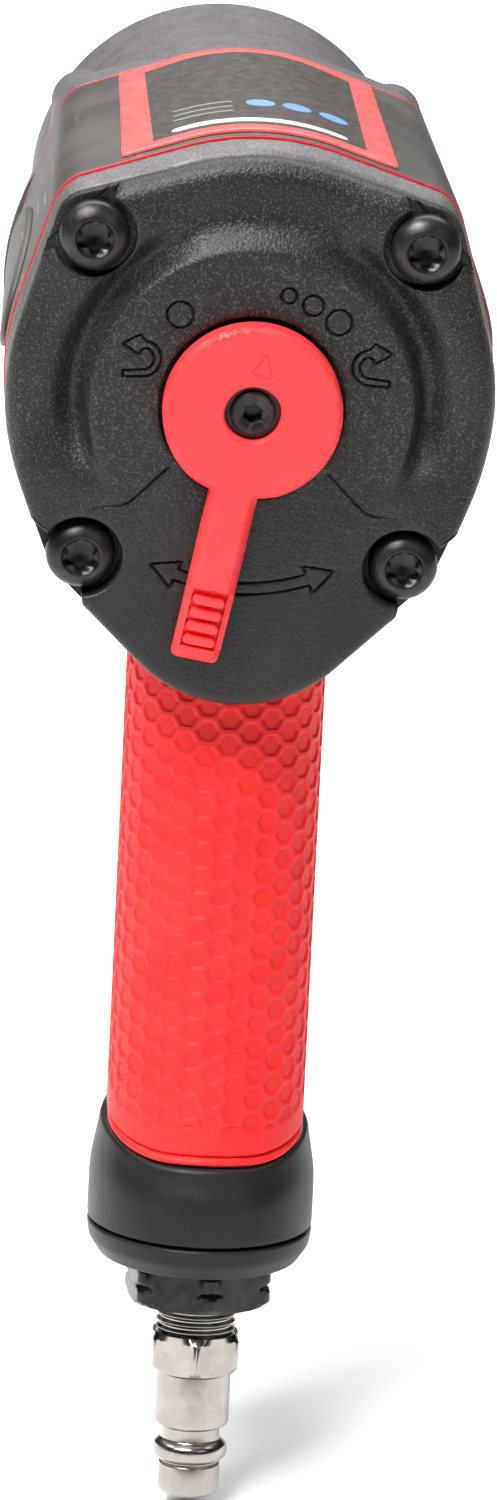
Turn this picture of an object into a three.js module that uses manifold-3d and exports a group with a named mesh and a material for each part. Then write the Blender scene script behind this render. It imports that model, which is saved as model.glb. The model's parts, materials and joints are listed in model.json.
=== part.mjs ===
// A pistol-grip air impact wrench with a half-inch square drive, in millimetres.
// +Y points out of the nose, +Z is up and +X is to the right for a person standing behind it.
// The origin is the centre of the square drive's end face.
// Inside the group "tool", y is counted forward from the flat face of the selector knob, and the
// tool's own axis is x = 0, z = 0. The handle has a frame of its own, raked to the rear.

import * as THREE from "three";
import { mergeVertices } from "three/addons/utils/BufferGeometryUtils.js";
import Module from "manifold-3d";

const wasm = await Module();
wasm.setup();

// ---------------------------------------------------------------- driving dimensions
const LENGTH = 186; // selector face to drive end
const GAP = 0.1; // between flat faces that seal against each other
const FIT = 0.3; // between turned surfaces that slide in each other

// Through-bolts, the lobes round them, and the barrel's cross-section as circles [x, z, radius].
const BOLTS = [[25.4, 25.5], [-25.4, 25.5], [25.2, -25.4], [-25.2, -25.4]];
const BOLT = { shank: 2.5, hole: 2.8, head: 5.4, top: 4.75, headEnd: 8, end: 92 };
const BARREL = [[0, 0, 38.3], [0, 1.9, 38.5], [24.9, 26, 7.6], [-24.9, 26, 7.6], [25.2, -25.4, 5.3],
  [-25.2, -25.4, 5.3]];
const BULGE = [[0, -27.2, 21.6], [25.2, -25.4, 5.2], [-25.2, -25.4, 5.2]];
const COVER_EDGE = [[0, 0, 38.05], [0, -27.2, 21.8], ...BOLTS.map(([x, z]) => [x, z, z > 0 ? 6.45 : 5.3])];
const BULGE_END = 56;

// Stations along the tool, from the selector face.
const COVER = { platform: 4.2, apron: 4.6, valveRecess: 10.2, back: 11.2, pocket: 6.45, floor: 9.1 };
const HOUSING = { start: 11.9, rim: 16.7, end: 75.9, bore: 27.3, jacket: 2 };
const TRIM = { rear: 16.9, front: 75.2, width: 0.6, proud: 0.15 };
const PLATE = { half: 21.5, start: 19.3, end: 74, proud: 0.5 };
const NARROWING = { from: TRIM.rear, share: 0.045 / 58 };
const BADGE = { y: 46, z: 8, length: 44, height: 20, proud: 0.9 };
const MOTOR = { plate: 13.6, rear: 21.6, cylinder: 21.8, front: 61.9, plateEnd: 70, radius: 27 };
const CASE = { start: 76.4, flange: 84, neck: 92, edge: 142.5, nose: 159, radius: 32.45, bore: 29.3 };
const CAGE = { hub: 72, rear: 84, gap: 90.2, front: 131.8, end: 137.6, radius: 28.5, pins: 21, pin: 4 };
const DRIVE = { start: 160, half: 6.35, corner: 8.4, groove: 178.4, grooveEnd: 181.6 };
const ANVIL = { journal: 5, core: 8.5, shaft: 9, jaw: 11.5 };
const ROTOR = { radius: 19, shaft: 4.7, nose: 5.7, spline: 4.6, offset: 2.9, bore: 22, vanes: 6 };

// The selector, turned from straight down by its rest angle.
const SELECTOR = { angle: 9.6, knob: 13.7, lever: 3.75, flat: 27.5, tip: 40.4, back: 3.9 };

// The handle: its axis crosses the tool's axis at y = HANDLE.top and leans back going down.
const HANDLE = { top: 42, rake: 10, bottom: -143, gripEnd: -131, gripTop: -30 };
const STEM = [[0, 3.6, 13.4], [0, -3.6, 13.4]];
const GRIP_WALL = 2.5;
const AIRWAY = { y: -4, radius: 8.3, top: -52 };
const TRIGGER = { half: 7, back: 12, front: 31, top: -46, low: -75, travel: 5, rod: -60, rodRadius: 1.8 };
const THROTTLE = { disc: -92, radius: 6, stem: 1.3, top: -57, thick: 2 };
const BASE = { half: 18.4, depth: 22.2, collar: -131.3, split: -143.8, bottom: -149.6 };
const INLET = { top: -118, hexTop: -149.9, hexLow: -156.6, flats: 22, thread: 6.9, air: 5.2 };
const PLUG = { top: -150.5, hex: -161.8, hexLow: -168.4, shoulder: -177.2, end: -189.4, bore: 2.7 };

const rad = THREE.MathUtils.degToRad;

// ---------------------------------------------------------------- materials
function paint(color, roughness, metalness = 0) {
  return new THREE.MeshStandardMaterial({ color, roughness, metalness });
}

const GREY_CASTING = paint(0x706e71, 0.55, 0.6);
const BLACK_PLASTIC = paint(0x2c2c2e, 0.5);
const RED_PLASTIC = paint(0xff5558, 0.35);
const RED_RUBBER = paint(0xf0413e, 0.7);
const BLACK_RUBBER = paint(0x1a1a1b, 0.8);
const BLACK_OXIDE = paint(0x202022, 0.35, 0.9);
const STEEL = paint(0x9a9ca0, 0.3, 1);
const NICKEL = paint(0xc8c6c0, 0.2, 1);
const BRONZE = paint(0xa9803f, 0.4, 1);
const FIBRE = paint(0x8c7a5a, 0.9);

// ---------------------------------------------------------------- shapes
function circle(radius, x = 0, y = 0) {
  const shape = new THREE.Shape();
  shape.absarc(x, y, radius, 0, 2 * Math.PI, false);
  return shape;
}

// The outline of a belt pulled tight round circles [x, y, radius], each grown by the same amount.
function belt(circles, grow = 0, steps = 40) {
  const points = [];
  for (let i = 0; i < steps; i++) {
    const angle = (i / steps) * 2 * Math.PI;
    const normal = new THREE.Vector2(Math.cos(angle), Math.sin(angle));
    const reach = ([x, y, radius]) => x * normal.x + y * normal.y + radius;
    const [x, y, radius] = circles.reduce((best, c) => (reach(c) > reach(best) ? c : best));
    points.push(new THREE.Vector2(x, y).addScaledVector(normal, radius + grow));
  }
  return new THREE.Shape(points);
}

function polygon(points) {
  return new THREE.Shape(points.map(([x, y]) => new THREE.Vector2(x, y)));
}

function hexagon(flats, turn = 0) {
  const corners = [];
  for (let i = 0; i < 6; i++) {
    const angle = turn + (i * Math.PI) / 3;
    corners.push([(Math.cos(angle) * flats) / Math.sqrt(3), (Math.sin(angle) * flats) / Math.sqrt(3)]);
  }
  return polygon(corners);
}

function alongZ(shape, z0, z1, curveSegments = 24) {
  const geometry = new THREE.ExtrudeGeometry(shape, { depth: z1 - z0, bevelEnabled: false, curveSegments });
  return geometry.translate(0, 0, z0);
}

// A shape drawn in (x, z), pushed from y0 to y1.
function alongY(shape, y0, y1, curveSegments = 24) {
  return alongZ(shape, -y1, -y0, curveSegments).rotateX(Math.PI / 2);
}

// A shape drawn in (y, z), pushed from x0 to x1.
function alongX(shape, x0, x1, curveSegments = 24) {
  const x = new THREE.Vector3(1, 0, 0);
  const y = new THREE.Vector3(0, 1, 0);
  const z = new THREE.Vector3(0, 0, 1);
  return alongZ(shape, x0, x1, curveSegments).applyMatrix4(new THREE.Matrix4().makeBasis(y, z, x));
}

// A profile of [radius, y], turned about the y axis; it runs counterclockwise with the axis on its left.
function turnedY(profile, segments = 24) {
  return new THREE.LatheGeometry(profile.map(([r, y]) => new THREE.Vector2(r, y)), segments);
}

function turnedZ(profile, segments = 24) {
  return turnedY(profile, segments).rotateX(Math.PI / 2);
}

function tubeY(inner, outer, y0, y1, segments = 24) {
  return turnedY([[inner, y0], [outer, y0], [outer, y1], [inner, y1], [inner, y0]], segments);
}

function tubeZ(inner, outer, z0, z1, segments = 24) {
  return tubeY(inner, outer, z0, z1, segments).rotateX(Math.PI / 2);
}

function rodY(radius, y0, y1, segments = 16) {
  return turnedY([[0, y0], [radius, y0], [radius, y1], [0, y1]], segments);
}

function rodZ(radius, z0, z1, segments = 16) {
  return rodY(radius, z0, z1, segments).rotateX(Math.PI / 2);
}

function block(x0, x1, y0, y1, z0, z1) {
  const geometry = new THREE.BoxGeometry(x1 - x0, y1 - y0, z1 - z0);
  return geometry.translate((x0 + x1) / 2, (y0 + y1) / 2, (z0 + z1) / 2);
}

function ringY(major, minor, y, segments = 16) {
  return new THREE.TorusGeometry(major, minor, 5, segments).rotateX(Math.PI / 2).translate(0, y, 0);
}

function ringZ(major, minor, z, segments = 16) {
  return new THREE.TorusGeometry(major, minor, 5, segments).translate(0, 0, z);
}

// A coil spring of round wire, standing on z0.
function springZ(radius, wire, z0, z1, turns) {
  class Helix extends THREE.Curve {
    getPoint(t) {
      const angle = 2 * Math.PI * turns * t;
      const z = z0 + wire + (z1 - z0 - 2 * wire) * t;
      return new THREE.Vector3(radius * Math.cos(angle), radius * Math.sin(angle), z);
    }
  }
  const section = circle(wire);
  const steps = Math.round(turns * 8);
  return new THREE.ExtrudeGeometry(section, { extrudePath: new Helix(), steps, curveSegments: 2 });
}

// ---------------------------------------------------------------- joining and cutting
function solid(item) {
  if (!item.isBufferGeometry) {
    return item;
  }
  const bare = item.clone();
  bare.deleteAttribute("normal");
  bare.deleteAttribute("uv");
  const merged = mergeVertices(bare, 1e-4);
  const corners = Array.from(merged.index.array);
  const triangles = [];
  for (let i = 0; i < corners.length; i += 3) {
    const [a, b, c] = corners.slice(i, i + 3);
    if (a !== b && b !== c && c !== a) {
      triangles.push(a, b, c);
    }
  }
  const vertProperties = new Float32Array(merged.attributes.position.array);
  const triVerts = new Uint32Array(triangles);
  return new wasm.Manifold(new wasm.Mesh({ numProp: 3, vertProperties, triVerts }));
}

function geometryOf(item) {
  if (item.isBufferGeometry) {
    return item;
  }
  const result = item.getMesh();
  const geometry = new THREE.BufferGeometry();
  geometry.setAttribute("position", new THREE.Float32BufferAttribute(result.vertProperties, 3));
  geometry.setIndex(Array.from(result.triVerts));
  geometry.computeVertexNormals();
  return geometry;
}

function join(first, ...others) {
  return others.reduce((sum, other) => sum.add(solid(other)), solid(first));
}

function cut(first, ...others) {
  return others.reduce((rest, other) => rest.subtract(solid(other)), solid(first));
}

function common(first, second) {
  return solid(first).intersect(solid(second));
}

function atBolts(make) {
  return BOLTS.map(([x, z]) => make().translate(x, 0, z));
}

// ---------------------------------------------------------------- the two frames
const tool = new THREE.Group();
tool.position.y = -LENGTH;
const handle = new THREE.Group();
handle.position.y = HANDLE.top;
handle.rotation.x = -rad(HANDLE.rake);
tool.add(handle);
handle.updateMatrix();

function place(name, material, item, frame = tool) {
  const mesh = new THREE.Mesh(geometryOf(item), material);
  mesh.name = name;
  frame.add(mesh);
  return mesh;
}

function raked(geometry) {
  return geometry.applyMatrix4(handle.matrix);
}

// ---------------------------------------------------------------- housing
function airways() {
  const { y, radius, top } = AIRWAY;
  const bottom = HANDLE.bottom - 1;
  const bore = raked(rodZ(radius, bottom, top, 24).translate(0, y, 0));
  const exhausts = [-10.5, 10.5].map((x) => raked(rodZ(2, bottom, -24, 12).translate(x, 3, 0)));
  const rodHole = raked(rodY(3.5, 0, 8, 20).translate(0, 0, TRIGGER.rod));
  const feed = raked(rodY(4, -1, 34, 16).rotateX(rad(112)).translate(0, y, top - 4));
  return [bore, rodHole, feed, ...exhausts];
}

function triggerPocket(side) {
  const back = TRIGGER.back - TRIGGER.travel - 0.6;
  return raked(block(-side, side, back, 40, TRIGGER.low - 1.4, TRIGGER.top + 1));
}

// The barrel's outline from y0 to y1; it gets a little narrower toward the front.
function barrel(grow, y0, y1, { outline = BARREL, steps = 40 } = {}) {
  const geometry = alongY(belt(outline, grow, steps), y0, y1);
  const { position } = geometry.attributes;
  for (let i = 0; i < position.count; i++) {
    position.setX(i, position.getX(i) * (1 - NARROWING.share * (position.getY(i) - NARROWING.from)));
  }
  return geometry;
}

function motorHousing() {
  const { start, rim, end, bore, jacket } = HOUSING;
  const under = barrel(-jacket - 0.2, start, end);
  const rear = barrel(-0.5, start, rim);
  const swelling = join(barrel(0, start, end), barrel(0, start, BULGE_END, { outline: BULGE }));
  const lower = common(swelling, block(-60, 60, 0, 100, -60, -24.3));
  const stem = raked(alongZ(belt(STEM), HANDLE.bottom, -28));
  const body = join(under, rear, lower, stem);
  const holes = atBolts(() => rodY(BOLT.hole, start - 1, end + 1, 10));
  const motorBore = rodY(bore, start - 1, end + 1, 48);
  return cut(body, motorBore, triggerPocket(TRIGGER.half + 0.5), ...airways(), ...holes);
}

function barrelShell(grow, y0, y1) {
  const outer = barrel(grow, y0, y1);
  const inner = barrel(-HOUSING.jacket, y0 - 1, y1 + 1);
  return cut(outer, inner, block(-60, 60, 0, 100, -60, -24));
}

function nameplate() {
  const { half, start, end, proud } = PLATE;
  const plate = cut(barrel(GAP + proud, start, end), barrel(GAP, start - 1, end + 1));
  const sides = barrel(0, start - 2, end + 2, { outline: [[0, 10, half], [0, 60, half]] });
  return common(plate, sides);
}

// A blank oval badge on the jacket's side, standing a little proud of it; side is 1 or -1.
function sideBadge(side) {
  const { y, z, length, height, proud } = BADGE;
  const skin = cut(barrel(2 * GAP + proud, 0, 90, { steps: 80 }), barrel(2 * GAP, -1, 91, { steps: 80 }));
  const oval = rodY(height / 2, 20, 50, 36).rotateZ(-side * Math.PI / 2).scale(1, length / height, 1);
  return common(skin, oval.translate(0, y, z));
}

function gasket(outline, y0, y1, inner) {
  const plate = cut(barrel(-0.8, y0, y1, { outline }), rodY(inner, y0 - 1, y1 + 1, 24));
  return cut(plate, ...atBolts(() => rodY(BOLT.hole, y0 - 1, y1 + 1, 8)));
}

place("motor_housing", GREY_CASTING, motorHousing());
place("housing_jacket", BLACK_PLASTIC, barrelShell(0, TRIM.rear + TRIM.width + GAP, TRIM.front - GAP));
place("rear_trim", RED_PLASTIC, barrelShell(TRIM.proud, TRIM.rear, TRIM.rear + TRIM.width));
place("front_trim", RED_PLASTIC, barrelShell(TRIM.proud, TRIM.front, TRIM.front + TRIM.width));
place("nameplate", RED_PLASTIC, nameplate());
place("badge_left", BLACK_PLASTIC, sideBadge(-1));
place("badge_right", BLACK_PLASTIC, sideBadge(1));
place("rear_gasket", FIBRE, gasket(COVER_EDGE, COVER.back + GAP, HOUSING.start - GAP, HOUSING.bore));
place("case_gasket", FIBRE, gasket(BARREL, HOUSING.end + GAP, CASE.start - GAP, HOUSING.bore));

// ---------------------------------------------------------------- rear cover, bolts and selector
function rearCover() {
  const { platform, apron, valveRecess, back, pocket, floor } = COVER;
  const sector = polygon([[0, -8], [12.3, -10], [18, -16.7], [28.7, -16.7], [28.7, -60], [-28.7, -60],
    [-28.7, -16.7], [-18, -16.7], [-12.3, -10]]);
  const profile = turnedY([[0, platform], [25.2, platform], [26.2, 8.2], [27.6, 8.2], [29, 6.8], [33, 6.5],
    [37, 7.8], [50, 9], [50, back], [0, back]], 36);
  const body = common(join(profile, alongY(sector, apron, back)), alongY(belt(COVER_EDGE, 0, 60), 0, 20));
  const pockets = atBolts(() => rodY(pocket, 0, floor, 16));
  const holes = atBolts(() => rodY(BOLT.hole, 0, 20, 8));
  const valveBore = rodY(6.6, 0, 20, 24);
  const recess = rodY(12.2, valveRecess, 20, 24);
  const detent = rodY(1.9, 0, 9, 16).translate(0, 0, 10.6);
  return cut(body, valveBore, recess, detent, ...pockets, ...holes);
}

function sixLobeSocket() {
  const lobes = [0, 1, 2].map((i) => {
    const bar = block(-2.75, 2.75, 0, BOLT.top + 2.2, -0.75, 0.75);
    return bar.rotateY((i * Math.PI) / 3);
  });
  return join(rodY(2.05, 0, BOLT.top + 2.2, 12), ...lobes);
}

function bolt() {
  const { shank, head, top, headEnd, end } = BOLT;
  const body = turnedY([[0, top], [2.9, top], [4.2, top + 0.5], [head, top + 1.9], [head, headEnd],
    [shank, headEnd], [shank, end], [0, end]], 12);
  return cut(body, sixLobeSocket());
}

function selectorKnob() {
  const { knob, lever, flat, tip, back } = SELECTOR;
  const disc = turnedY([[0, 0], [knob - 1, 0], [knob, 1], [knob, back], [6, back], [6, 7], [0, 7]], 36);
  const side = polygon([[0, 0], [back, 0], [back, -flat], [4.3, -tip], [1.6, -tip], [1.4, -38], [2, -37],
    [0, -flat]]);
  const arm = alongX(side, -lever, lever).rotateY(rad(SELECTOR.angle));
  return cut(join(disc, arm), rodY(4.35, -1, 4.4, 24), rodY(2.3, 4, 8, 16));
}

function selectorScrew() {
  const body = turnedY([[0, 1], [3.2, 1], [3.55, 1.4], [3.55, 4.2], [2, 4.2], [2, 11], [0, 11]], 20);
  return cut(body, alongY(hexagon(3), 0, 3));
}

// The selector valve: a stem in the cover's bore and a disc that opens one of two kidney ports.
function reverseValve() {
  const body = turnedY([[0, 7.2], [5.6, 7.2], [5.6, 8], [4.4, 8], [4.4, 10], [5.6, 10], [5.6, 10.6],
    [11.5, 10.6], [11.5, 13.2], [0, 13.2]], 24);
  const port = cut(tubeY(7.2, 9.8, 10, 14, 24), block(-20, 20, 0, 20, -20, 4));
  return cut(body, rodY(2.3, 7, 11.6, 16), port);
}

place("rear_cover", BLACK_PLASTIC, rearCover());
BOLTS.forEach(([x, z], i) => place(`rear_bolt_${i + 1}`, BLACK_OXIDE, bolt()).position.set(x, 0, z));
place("selector_knob", RED_PLASTIC, selectorKnob());
place("selector_screw", BLACK_OXIDE, selectorScrew());
place("reverse_valve", STEEL, reverseValve());
place("valve_o_ring", BLACK_RUBBER, ringY(5.35, 0.8, 9));
place("detent_ball", STEEL, new THREE.SphereGeometry(1.5, 10, 6)).position.set(0, 5.8, 10.6);
const detentSpring = place("detent_spring", STEEL, springZ(1.2, 0.2, 0, 1.4, 2));
detentSpring.rotation.x = -Math.PI / 2;
detentSpring.position.set(0, 7.45, 10.6);

// ---------------------------------------------------------------- air motor
function kidneys(inner, outer, y0, y1) {
  const ring = tubeY(inner, outer, y0, y1, 24);
  const spans = [[-8, 30], [-30, 8]];
  return spans.map(([x0, x1]) => cut(ring, block(x0, x1, y0 - 1, y1 + 1, -30, 30)));
}

function rearEndPlate() {
  const { plate, rear, radius } = MOTOR;
  const body = rodY(radius, plate, rear, 36);
  const ports = kidneys(13.5, 17, plate - 1, rear + 1);
  return cut(body, rodY(11.3, plate - 1, 19.9, 24), rodY(6, plate, rear + 1), ...ports);
}

function frontEndPlate() {
  const { front, plateEnd, radius } = MOTOR;
  return turnedY([[7, front], [radius, front], [radius, plateEnd], [12.3, plateEnd], [12.3, front + 1.9],
    [7, front + 1.9], [7, front]], 36);
}

function cylinder() {
  const { cylinder: start, front, radius } = MOTOR;
  const end = front - GAP;
  const body = rodY(radius, start, end, 36);
  const bore = rodY(ROTOR.bore, start - 1, end + 1, 48).translate(0, 0, ROTOR.offset);
  const ports = [-8, 0, 8].map((y) => rodZ(1.6, -30, -15, 12).translate(7, 42 + y, 0));
  return cut(body, bore, rodY(1.5, start - 1, start + 4, 12).translate(0, 0, -24.8), ...ports);
}

function rotor() {
  const { radius, shaft, nose, spline, vanes } = ROTOR;
  const body = turnedY([[0, 14], [shaft, 14], [shaft, 22.1], [radius, 22.1], [radius, 61.5], [nose, 61.5],
    [nose, 70.4], [spline, 70.6], [spline, 83.3], [0, 83.3]], 24);
  const splines = [0, 1, 2, 3].map((i) => block(-5.5, 5.5, 71, 83, -0.8, 0.8).rotateY((i * Math.PI) / 4));
  const slots = [];
  for (let i = 0; i < vanes; i++) {
    slots.push(block(-1.1, 1.1, 22, 61.6, 10.6, 20).rotateY((i * 2 * Math.PI) / vanes));
  }
  return cut(join(body, ...splines), ...slots);
}

place("rear_end_plate", STEEL, rearEndPlate());
place("rear_bearing", STEEL, tubeY(5, 11, 13.8, 19.7));
place("cylinder", STEEL, cylinder());
place("cylinder_dowel", STEEL, rodY(1.2, 21.9, 25.5, 12)).position.z = -24.8;
place("front_end_plate", STEEL, frontEndPlate());
place("front_bearing", STEEL, tubeY(6, 12, 64.1, 69.9));
place("rotor", STEEL, rotor());
for (let i = 0; i < ROTOR.vanes; i++) {
  const vane = place(`vane_${i + 1}`, FIBRE, block(-0.8, 0.8, 22.5, 61.1, 10.9, 18.8));
  vane.rotation.y = (i * 2 * Math.PI) / ROTOR.vanes;
}

// ---------------------------------------------------------------- twin-hammer mechanism
function hammerCage() {
  const { hub, rear, gap, front, end, radius, pins, pin } = CAGE;
  const plates = [rodY(radius, rear, gap, 28), rodY(radius, front, end, 28), rodY(9, hub, rear + 1)];
  const webs = common(tubeY(24.5, radius, rear, end, 28), block(-40, 40, 0, 200, -9, 9));
  const holes = [-pins, pins].map((z) => rodY(pin + 0.2, rear - 1, end + 1, 20).translate(0, 0, z));
  const frontBore = rodY(ANVIL.shaft + FIT, 120, end + 1, 24);
  const bores = [rodY(5.8, hub - 1, rear, 24), rodY(5.4, rear - 1, gap + 1), frontBore];
  return cut(join(...plates, webs), ...bores, ...holes);
}

// One swinging hammer: it hangs on the pin at z = +CAGE.pins and clears the other one.
function hammer(y0, y1) {
  const outline = belt([[0, 19.5, 8], [0, 0, 19], [0, -10, 15]]);
  outline.holes.push(circle(15));
  const pinHole = rodY(CAGE.pin + 0.2, y0 - 1, y1 + 1, 20).translate(0, 0, CAGE.pins);
  const body = cut(alongY(outline, y0, y1, 12), pinHole);
  const dog = block(12.3, 16, y0, y1, -4, 4);
  return cut(join(body, dog), block(-30, 30, y0 - 1, y1 + 1, -40, -16.2));
}

function anvil() {
  const { journal, core, shaft, jaw } = ANVIL;
  const { start, half, corner, groove, grooveEnd } = DRIVE;
  const stem = turnedY([[0, 84.6], [journal, 84.6], [journal, 90.6], [core, 90.6], [core, 131.9], [shaft, 131.9],
    [shaft, start], [7, start + 1.5], [0, start + 1.5]]);
  const jaws = [block(-4.5, 4.5, 91.4, 110.4, 5, jaw), block(-4.5, 4.5, 111.7, 130.7, -jaw, -5)];
  const tip = turnedY([[0, start], [corner, start], [corner, LENGTH - 2.2], [6.6, LENGTH], [0, LENGTH]]);
  const square = common(tip, block(-half, half, start, LENGTH, -half, half));
  return cut(join(stem, square, ...jaws), tubeY(5.2, 10, groove, grooveEnd, 24));
}

function retainerRing() {
  const ring = tubeY(5.6, 6.7, DRIVE.groove + 0.4, DRIVE.grooveEnd - 0.4, 24);
  return cut(ring, block(-1.2, 1.2, 170, 190, 0, 10));
}

place("hammer_cage", STEEL, hammerCage());
[CAGE.pins, -CAGE.pins].forEach((z, i) => {
  place(`hammer_pin_${i + 1}`, STEEL, rodY(CAGE.pin, CAGE.rear + 0.2, CAGE.end - 0.2)).position.z = z;
});
place("hammer_rear", STEEL, hammer(90.6, 110.6));
place("hammer_front", STEEL, hammer(111.4, 131.4)).rotation.y = Math.PI;
place("anvil", BLACK_OXIDE, anvil());
place("retainer_ring", STEEL, retainerRing());

// ---------------------------------------------------------------- hammer case and nose
function hammerCase() {
  const { start, flange, neck, edge, nose, radius, bore } = CASE;
  const outside = turnedY([[0, start], [36.5, start], [36.5, flange + 1], [radius, neck], [radius, edge],
    [31.2, edge + 1.5], [18, 156], [16.5, nose], [0, nose]], 36);
  const plate = barrel(-0.3, start, flange);
  const bosses = BOLTS.map(([x, z]) => {
    const wide = z > 0 ? 5.4 : 4.4;
    return turnedY([[0, start], [wide, start], [wide, 94], [wide - 2.2, 98], [0, 98]], 18).translate(x, 0, z);
  });
  const inside = turnedY([[0, start - 1], [bore, start - 1], [bore, 139], [12.3, 140.2], [12.3, nose + 1],
    [0, nose + 1]], 36);
  const holes = atBolts(() => rodY(BOLT.hole, start - 1, BOLT.end + 0.5, 10));
  return cut(join(outside, plate, ...bosses), inside, ...holes);
}

place("hammer_case", GREY_CASTING, hammerCase());
place("anvil_bushing", BRONZE, tubeY(ANVIL.shaft + 0.1, 12, 140.6, 156.6));
place("nose_seal", BLACK_RUBBER, tubeY(ANVIL.shaft + 0.1, 12, 156.8, 158.8, 24));

// ---------------------------------------------------------------- handle, trigger and throttle
function grip() {
  const sleeve = cut(
    raked(alongZ(belt(STEM, GRIP_WALL), HANDLE.gripEnd, HANDLE.gripTop)),
    raked(alongZ(belt(STEM, 0.25), HANDLE.gripEnd - 1, HANDLE.gripTop + 1)),
  );
  const above = barrel(FIT, -10, 120);
  const swelling = barrel(FIT, -10, BULGE_END + FIT, { outline: BULGE });
  return cut(sleeve, above, swelling, triggerPocket(TRIGGER.half + 0.8));
}

const ROD_TIP = AIRWAY.y + THROTTLE.stem + FIT;

function trigger() {
  const { half, back, front, top, low } = TRIGGER;
  const side = polygon([[back, low], [24, low], [front - 1, low + 5], [front - 2.4, -60], [front, top - 3],
    [front - 1, top], [back, top]]);
  return cut(alongX(side, -half, half), rodY(2.1, 11, 16, 16).translate(0, 0, TRIGGER.rod));
}

function throttleValve() {
  const { disc, radius, stem, top, thick } = THROTTLE;
  const outline = [[0, disc - thick], [radius, disc - thick], [radius, disc], [stem, disc], [stem, top], [0, top]];
  return turnedZ(outline, 24);
}

place("grip", RED_RUBBER, grip());
place("trigger", RED_PLASTIC, trigger(), handle);
place("trigger_rod", STEEL, rodY(TRIGGER.rodRadius, ROD_TIP, 15.8), handle).position.z = TRIGGER.rod;
place("trigger_bushing", BRONZE, tubeY(2, 3.2, 3.6, 5.8, 20), handle).position.z = TRIGGER.rod;
place("throttle_valve", STEEL, throttleValve(), handle).position.y = AIRWAY.y;
const throttleSeat = tubeZ(4.2, 8, THROTTLE.disc + 0.2, THROTTLE.disc + 3, 24);
place("throttle_seat", BRONZE, throttleSeat, handle).position.y = AIRWAY.y;
const throttleSpring = springZ(4.4, 0.5, INLET.top + 0.2, THROTTLE.disc - THROTTLE.thick - 0.3, 5);
place("throttle_spring", STEEL, throttleSpring, handle).position.y = AIRWAY.y;

// ---------------------------------------------------------------- handle base, inlet and plug
function oval(half, depth, z0, z1, taper = 0) {
  return turnedZ([[0, z0], [half, z0], [half - taper, z1], [0, z1]], 24).scale(1, depth / half, 1);
}

function baseCollar() {
  const { half, depth, collar, split } = BASE;
  const body = join(oval(half, depth, split, -137), oval(half, depth, -137.5, collar, 1.6));
  return cut(body, alongZ(belt(STEM, 0.25), split - 1, collar + 1));
}

function exhaustDeflector() {
  const { half, depth, split, bottom } = BASE;
  const top = split - 0.5;
  const body = turnedZ([[0, bottom], [half - 3, bottom], [half - 0.8, bottom + 1.4], [half, top - 1],
    [half - 0.4, top], [0, top]], 24).scale(1, depth / half, 1);
  const recess = oval(15.4, 18.6, -147.4, top + 1);
  const slots = [-8, -4, 0, 4, 8].map((x) => block(x - 1, x + 1, 12.5, 17, bottom - 1, -147));
  return cut(body, recess, rodZ(11.4, bottom - 1, top + 1, 24).translate(0, AIRWAY.y, 0), ...slots);
}

function inletBushing() {
  const { top, hexTop, hexLow, flats, thread, air } = INLET;
  const tube = turnedZ([[0, hexTop - 1], [10.6, hexTop - 1], [10.6, -143.6], [8, -143.6], [8, -123.2],
    [7, -123.2], [7, -121], [8, -121], [8, top], [0, top]], 24);
  const chamfers = turnedZ([[0, hexLow], [11.4, hexLow], [12.6, hexLow + 1.2], [12.6, hexTop - 1.2],
    [11.4, hexTop], [0, hexTop]], 24);
  const hex = common(alongZ(hexagon(flats, rad(37.7)), hexLow, hexTop), chamfers);
  return cut(join(tube, hex), rodZ(air, -160, top + 1, 24), rodZ(thread, hexLow - 1, PLUG.top + 0.6, 24));
}

function airPlug() {
  const { top, hex, hexLow, shoulder, end, bore } = PLUG;
  const thread = rodZ(6.5, hex - 1, top, 24);
  const chamfers = turnedZ([[0, hexLow], [7.4, hexLow], [8.1, hexLow + 0.8], [8.1, hex - 0.8], [7.4, hex],
    [0, hex]], 24);
  const nut = common(alongZ(hexagon(14, rad(30)), hexLow, hex), chamfers);
  const stem = turnedZ([[0, end], [4.5, end], [4.9, end + 0.5], [4.9, end + 5], [6, end + 6.4],
    [6, end + 7.6], [4.7, end + 8.6], [4.7, shoulder - 1.4], [6.15, shoulder], [6.15, hexLow + 0.5],
    [0, hexLow + 0.5]], 24);
  return cut(join(thread, nut, stem), rodZ(bore, end - 1, top + 1, 20));
}

function inletScreen() {
  return turnedZ([[3.4, -134], [4.8, -134], [4.8, -133.4], [4, -133.4], [3, -126], [0, -126], [0, -126.6],
    [2.4, -126.6], [3.4, -134]], 12);
}

place("base_collar", BLACK_PLASTIC, baseCollar(), handle);
place("exhaust_deflector", BLACK_PLASTIC, exhaustDeflector(), handle);
const muffler = cut(oval(14.9, 18, -147.1, -144.9), rodZ(11.2, -149, -143, 24).translate(0, AIRWAY.y, 0));
place("muffler", FIBRE, muffler, handle);
place("inlet_bushing", BLACK_OXIDE, inletBushing(), handle).position.y = AIRWAY.y;
place("inlet_o_ring", BLACK_RUBBER, ringZ(7.6, 0.5, -122.1), handle).position.y = AIRWAY.y;
place("inlet_screen", STEEL, inletScreen(), handle).position.y = AIRWAY.y;
place("air_plug", NICKEL, airPlug(), handle).position.y = AIRWAY.y;

const group = new THREE.Group();
group.add(tool);

export default group;
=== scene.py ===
import json
from math import asin, atan2, cos, degrees, pi, radians, sin, sqrt

import bmesh
import bpy
import numpy as np
from mathutils import Matrix, Vector, geometry, kdtree


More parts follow.
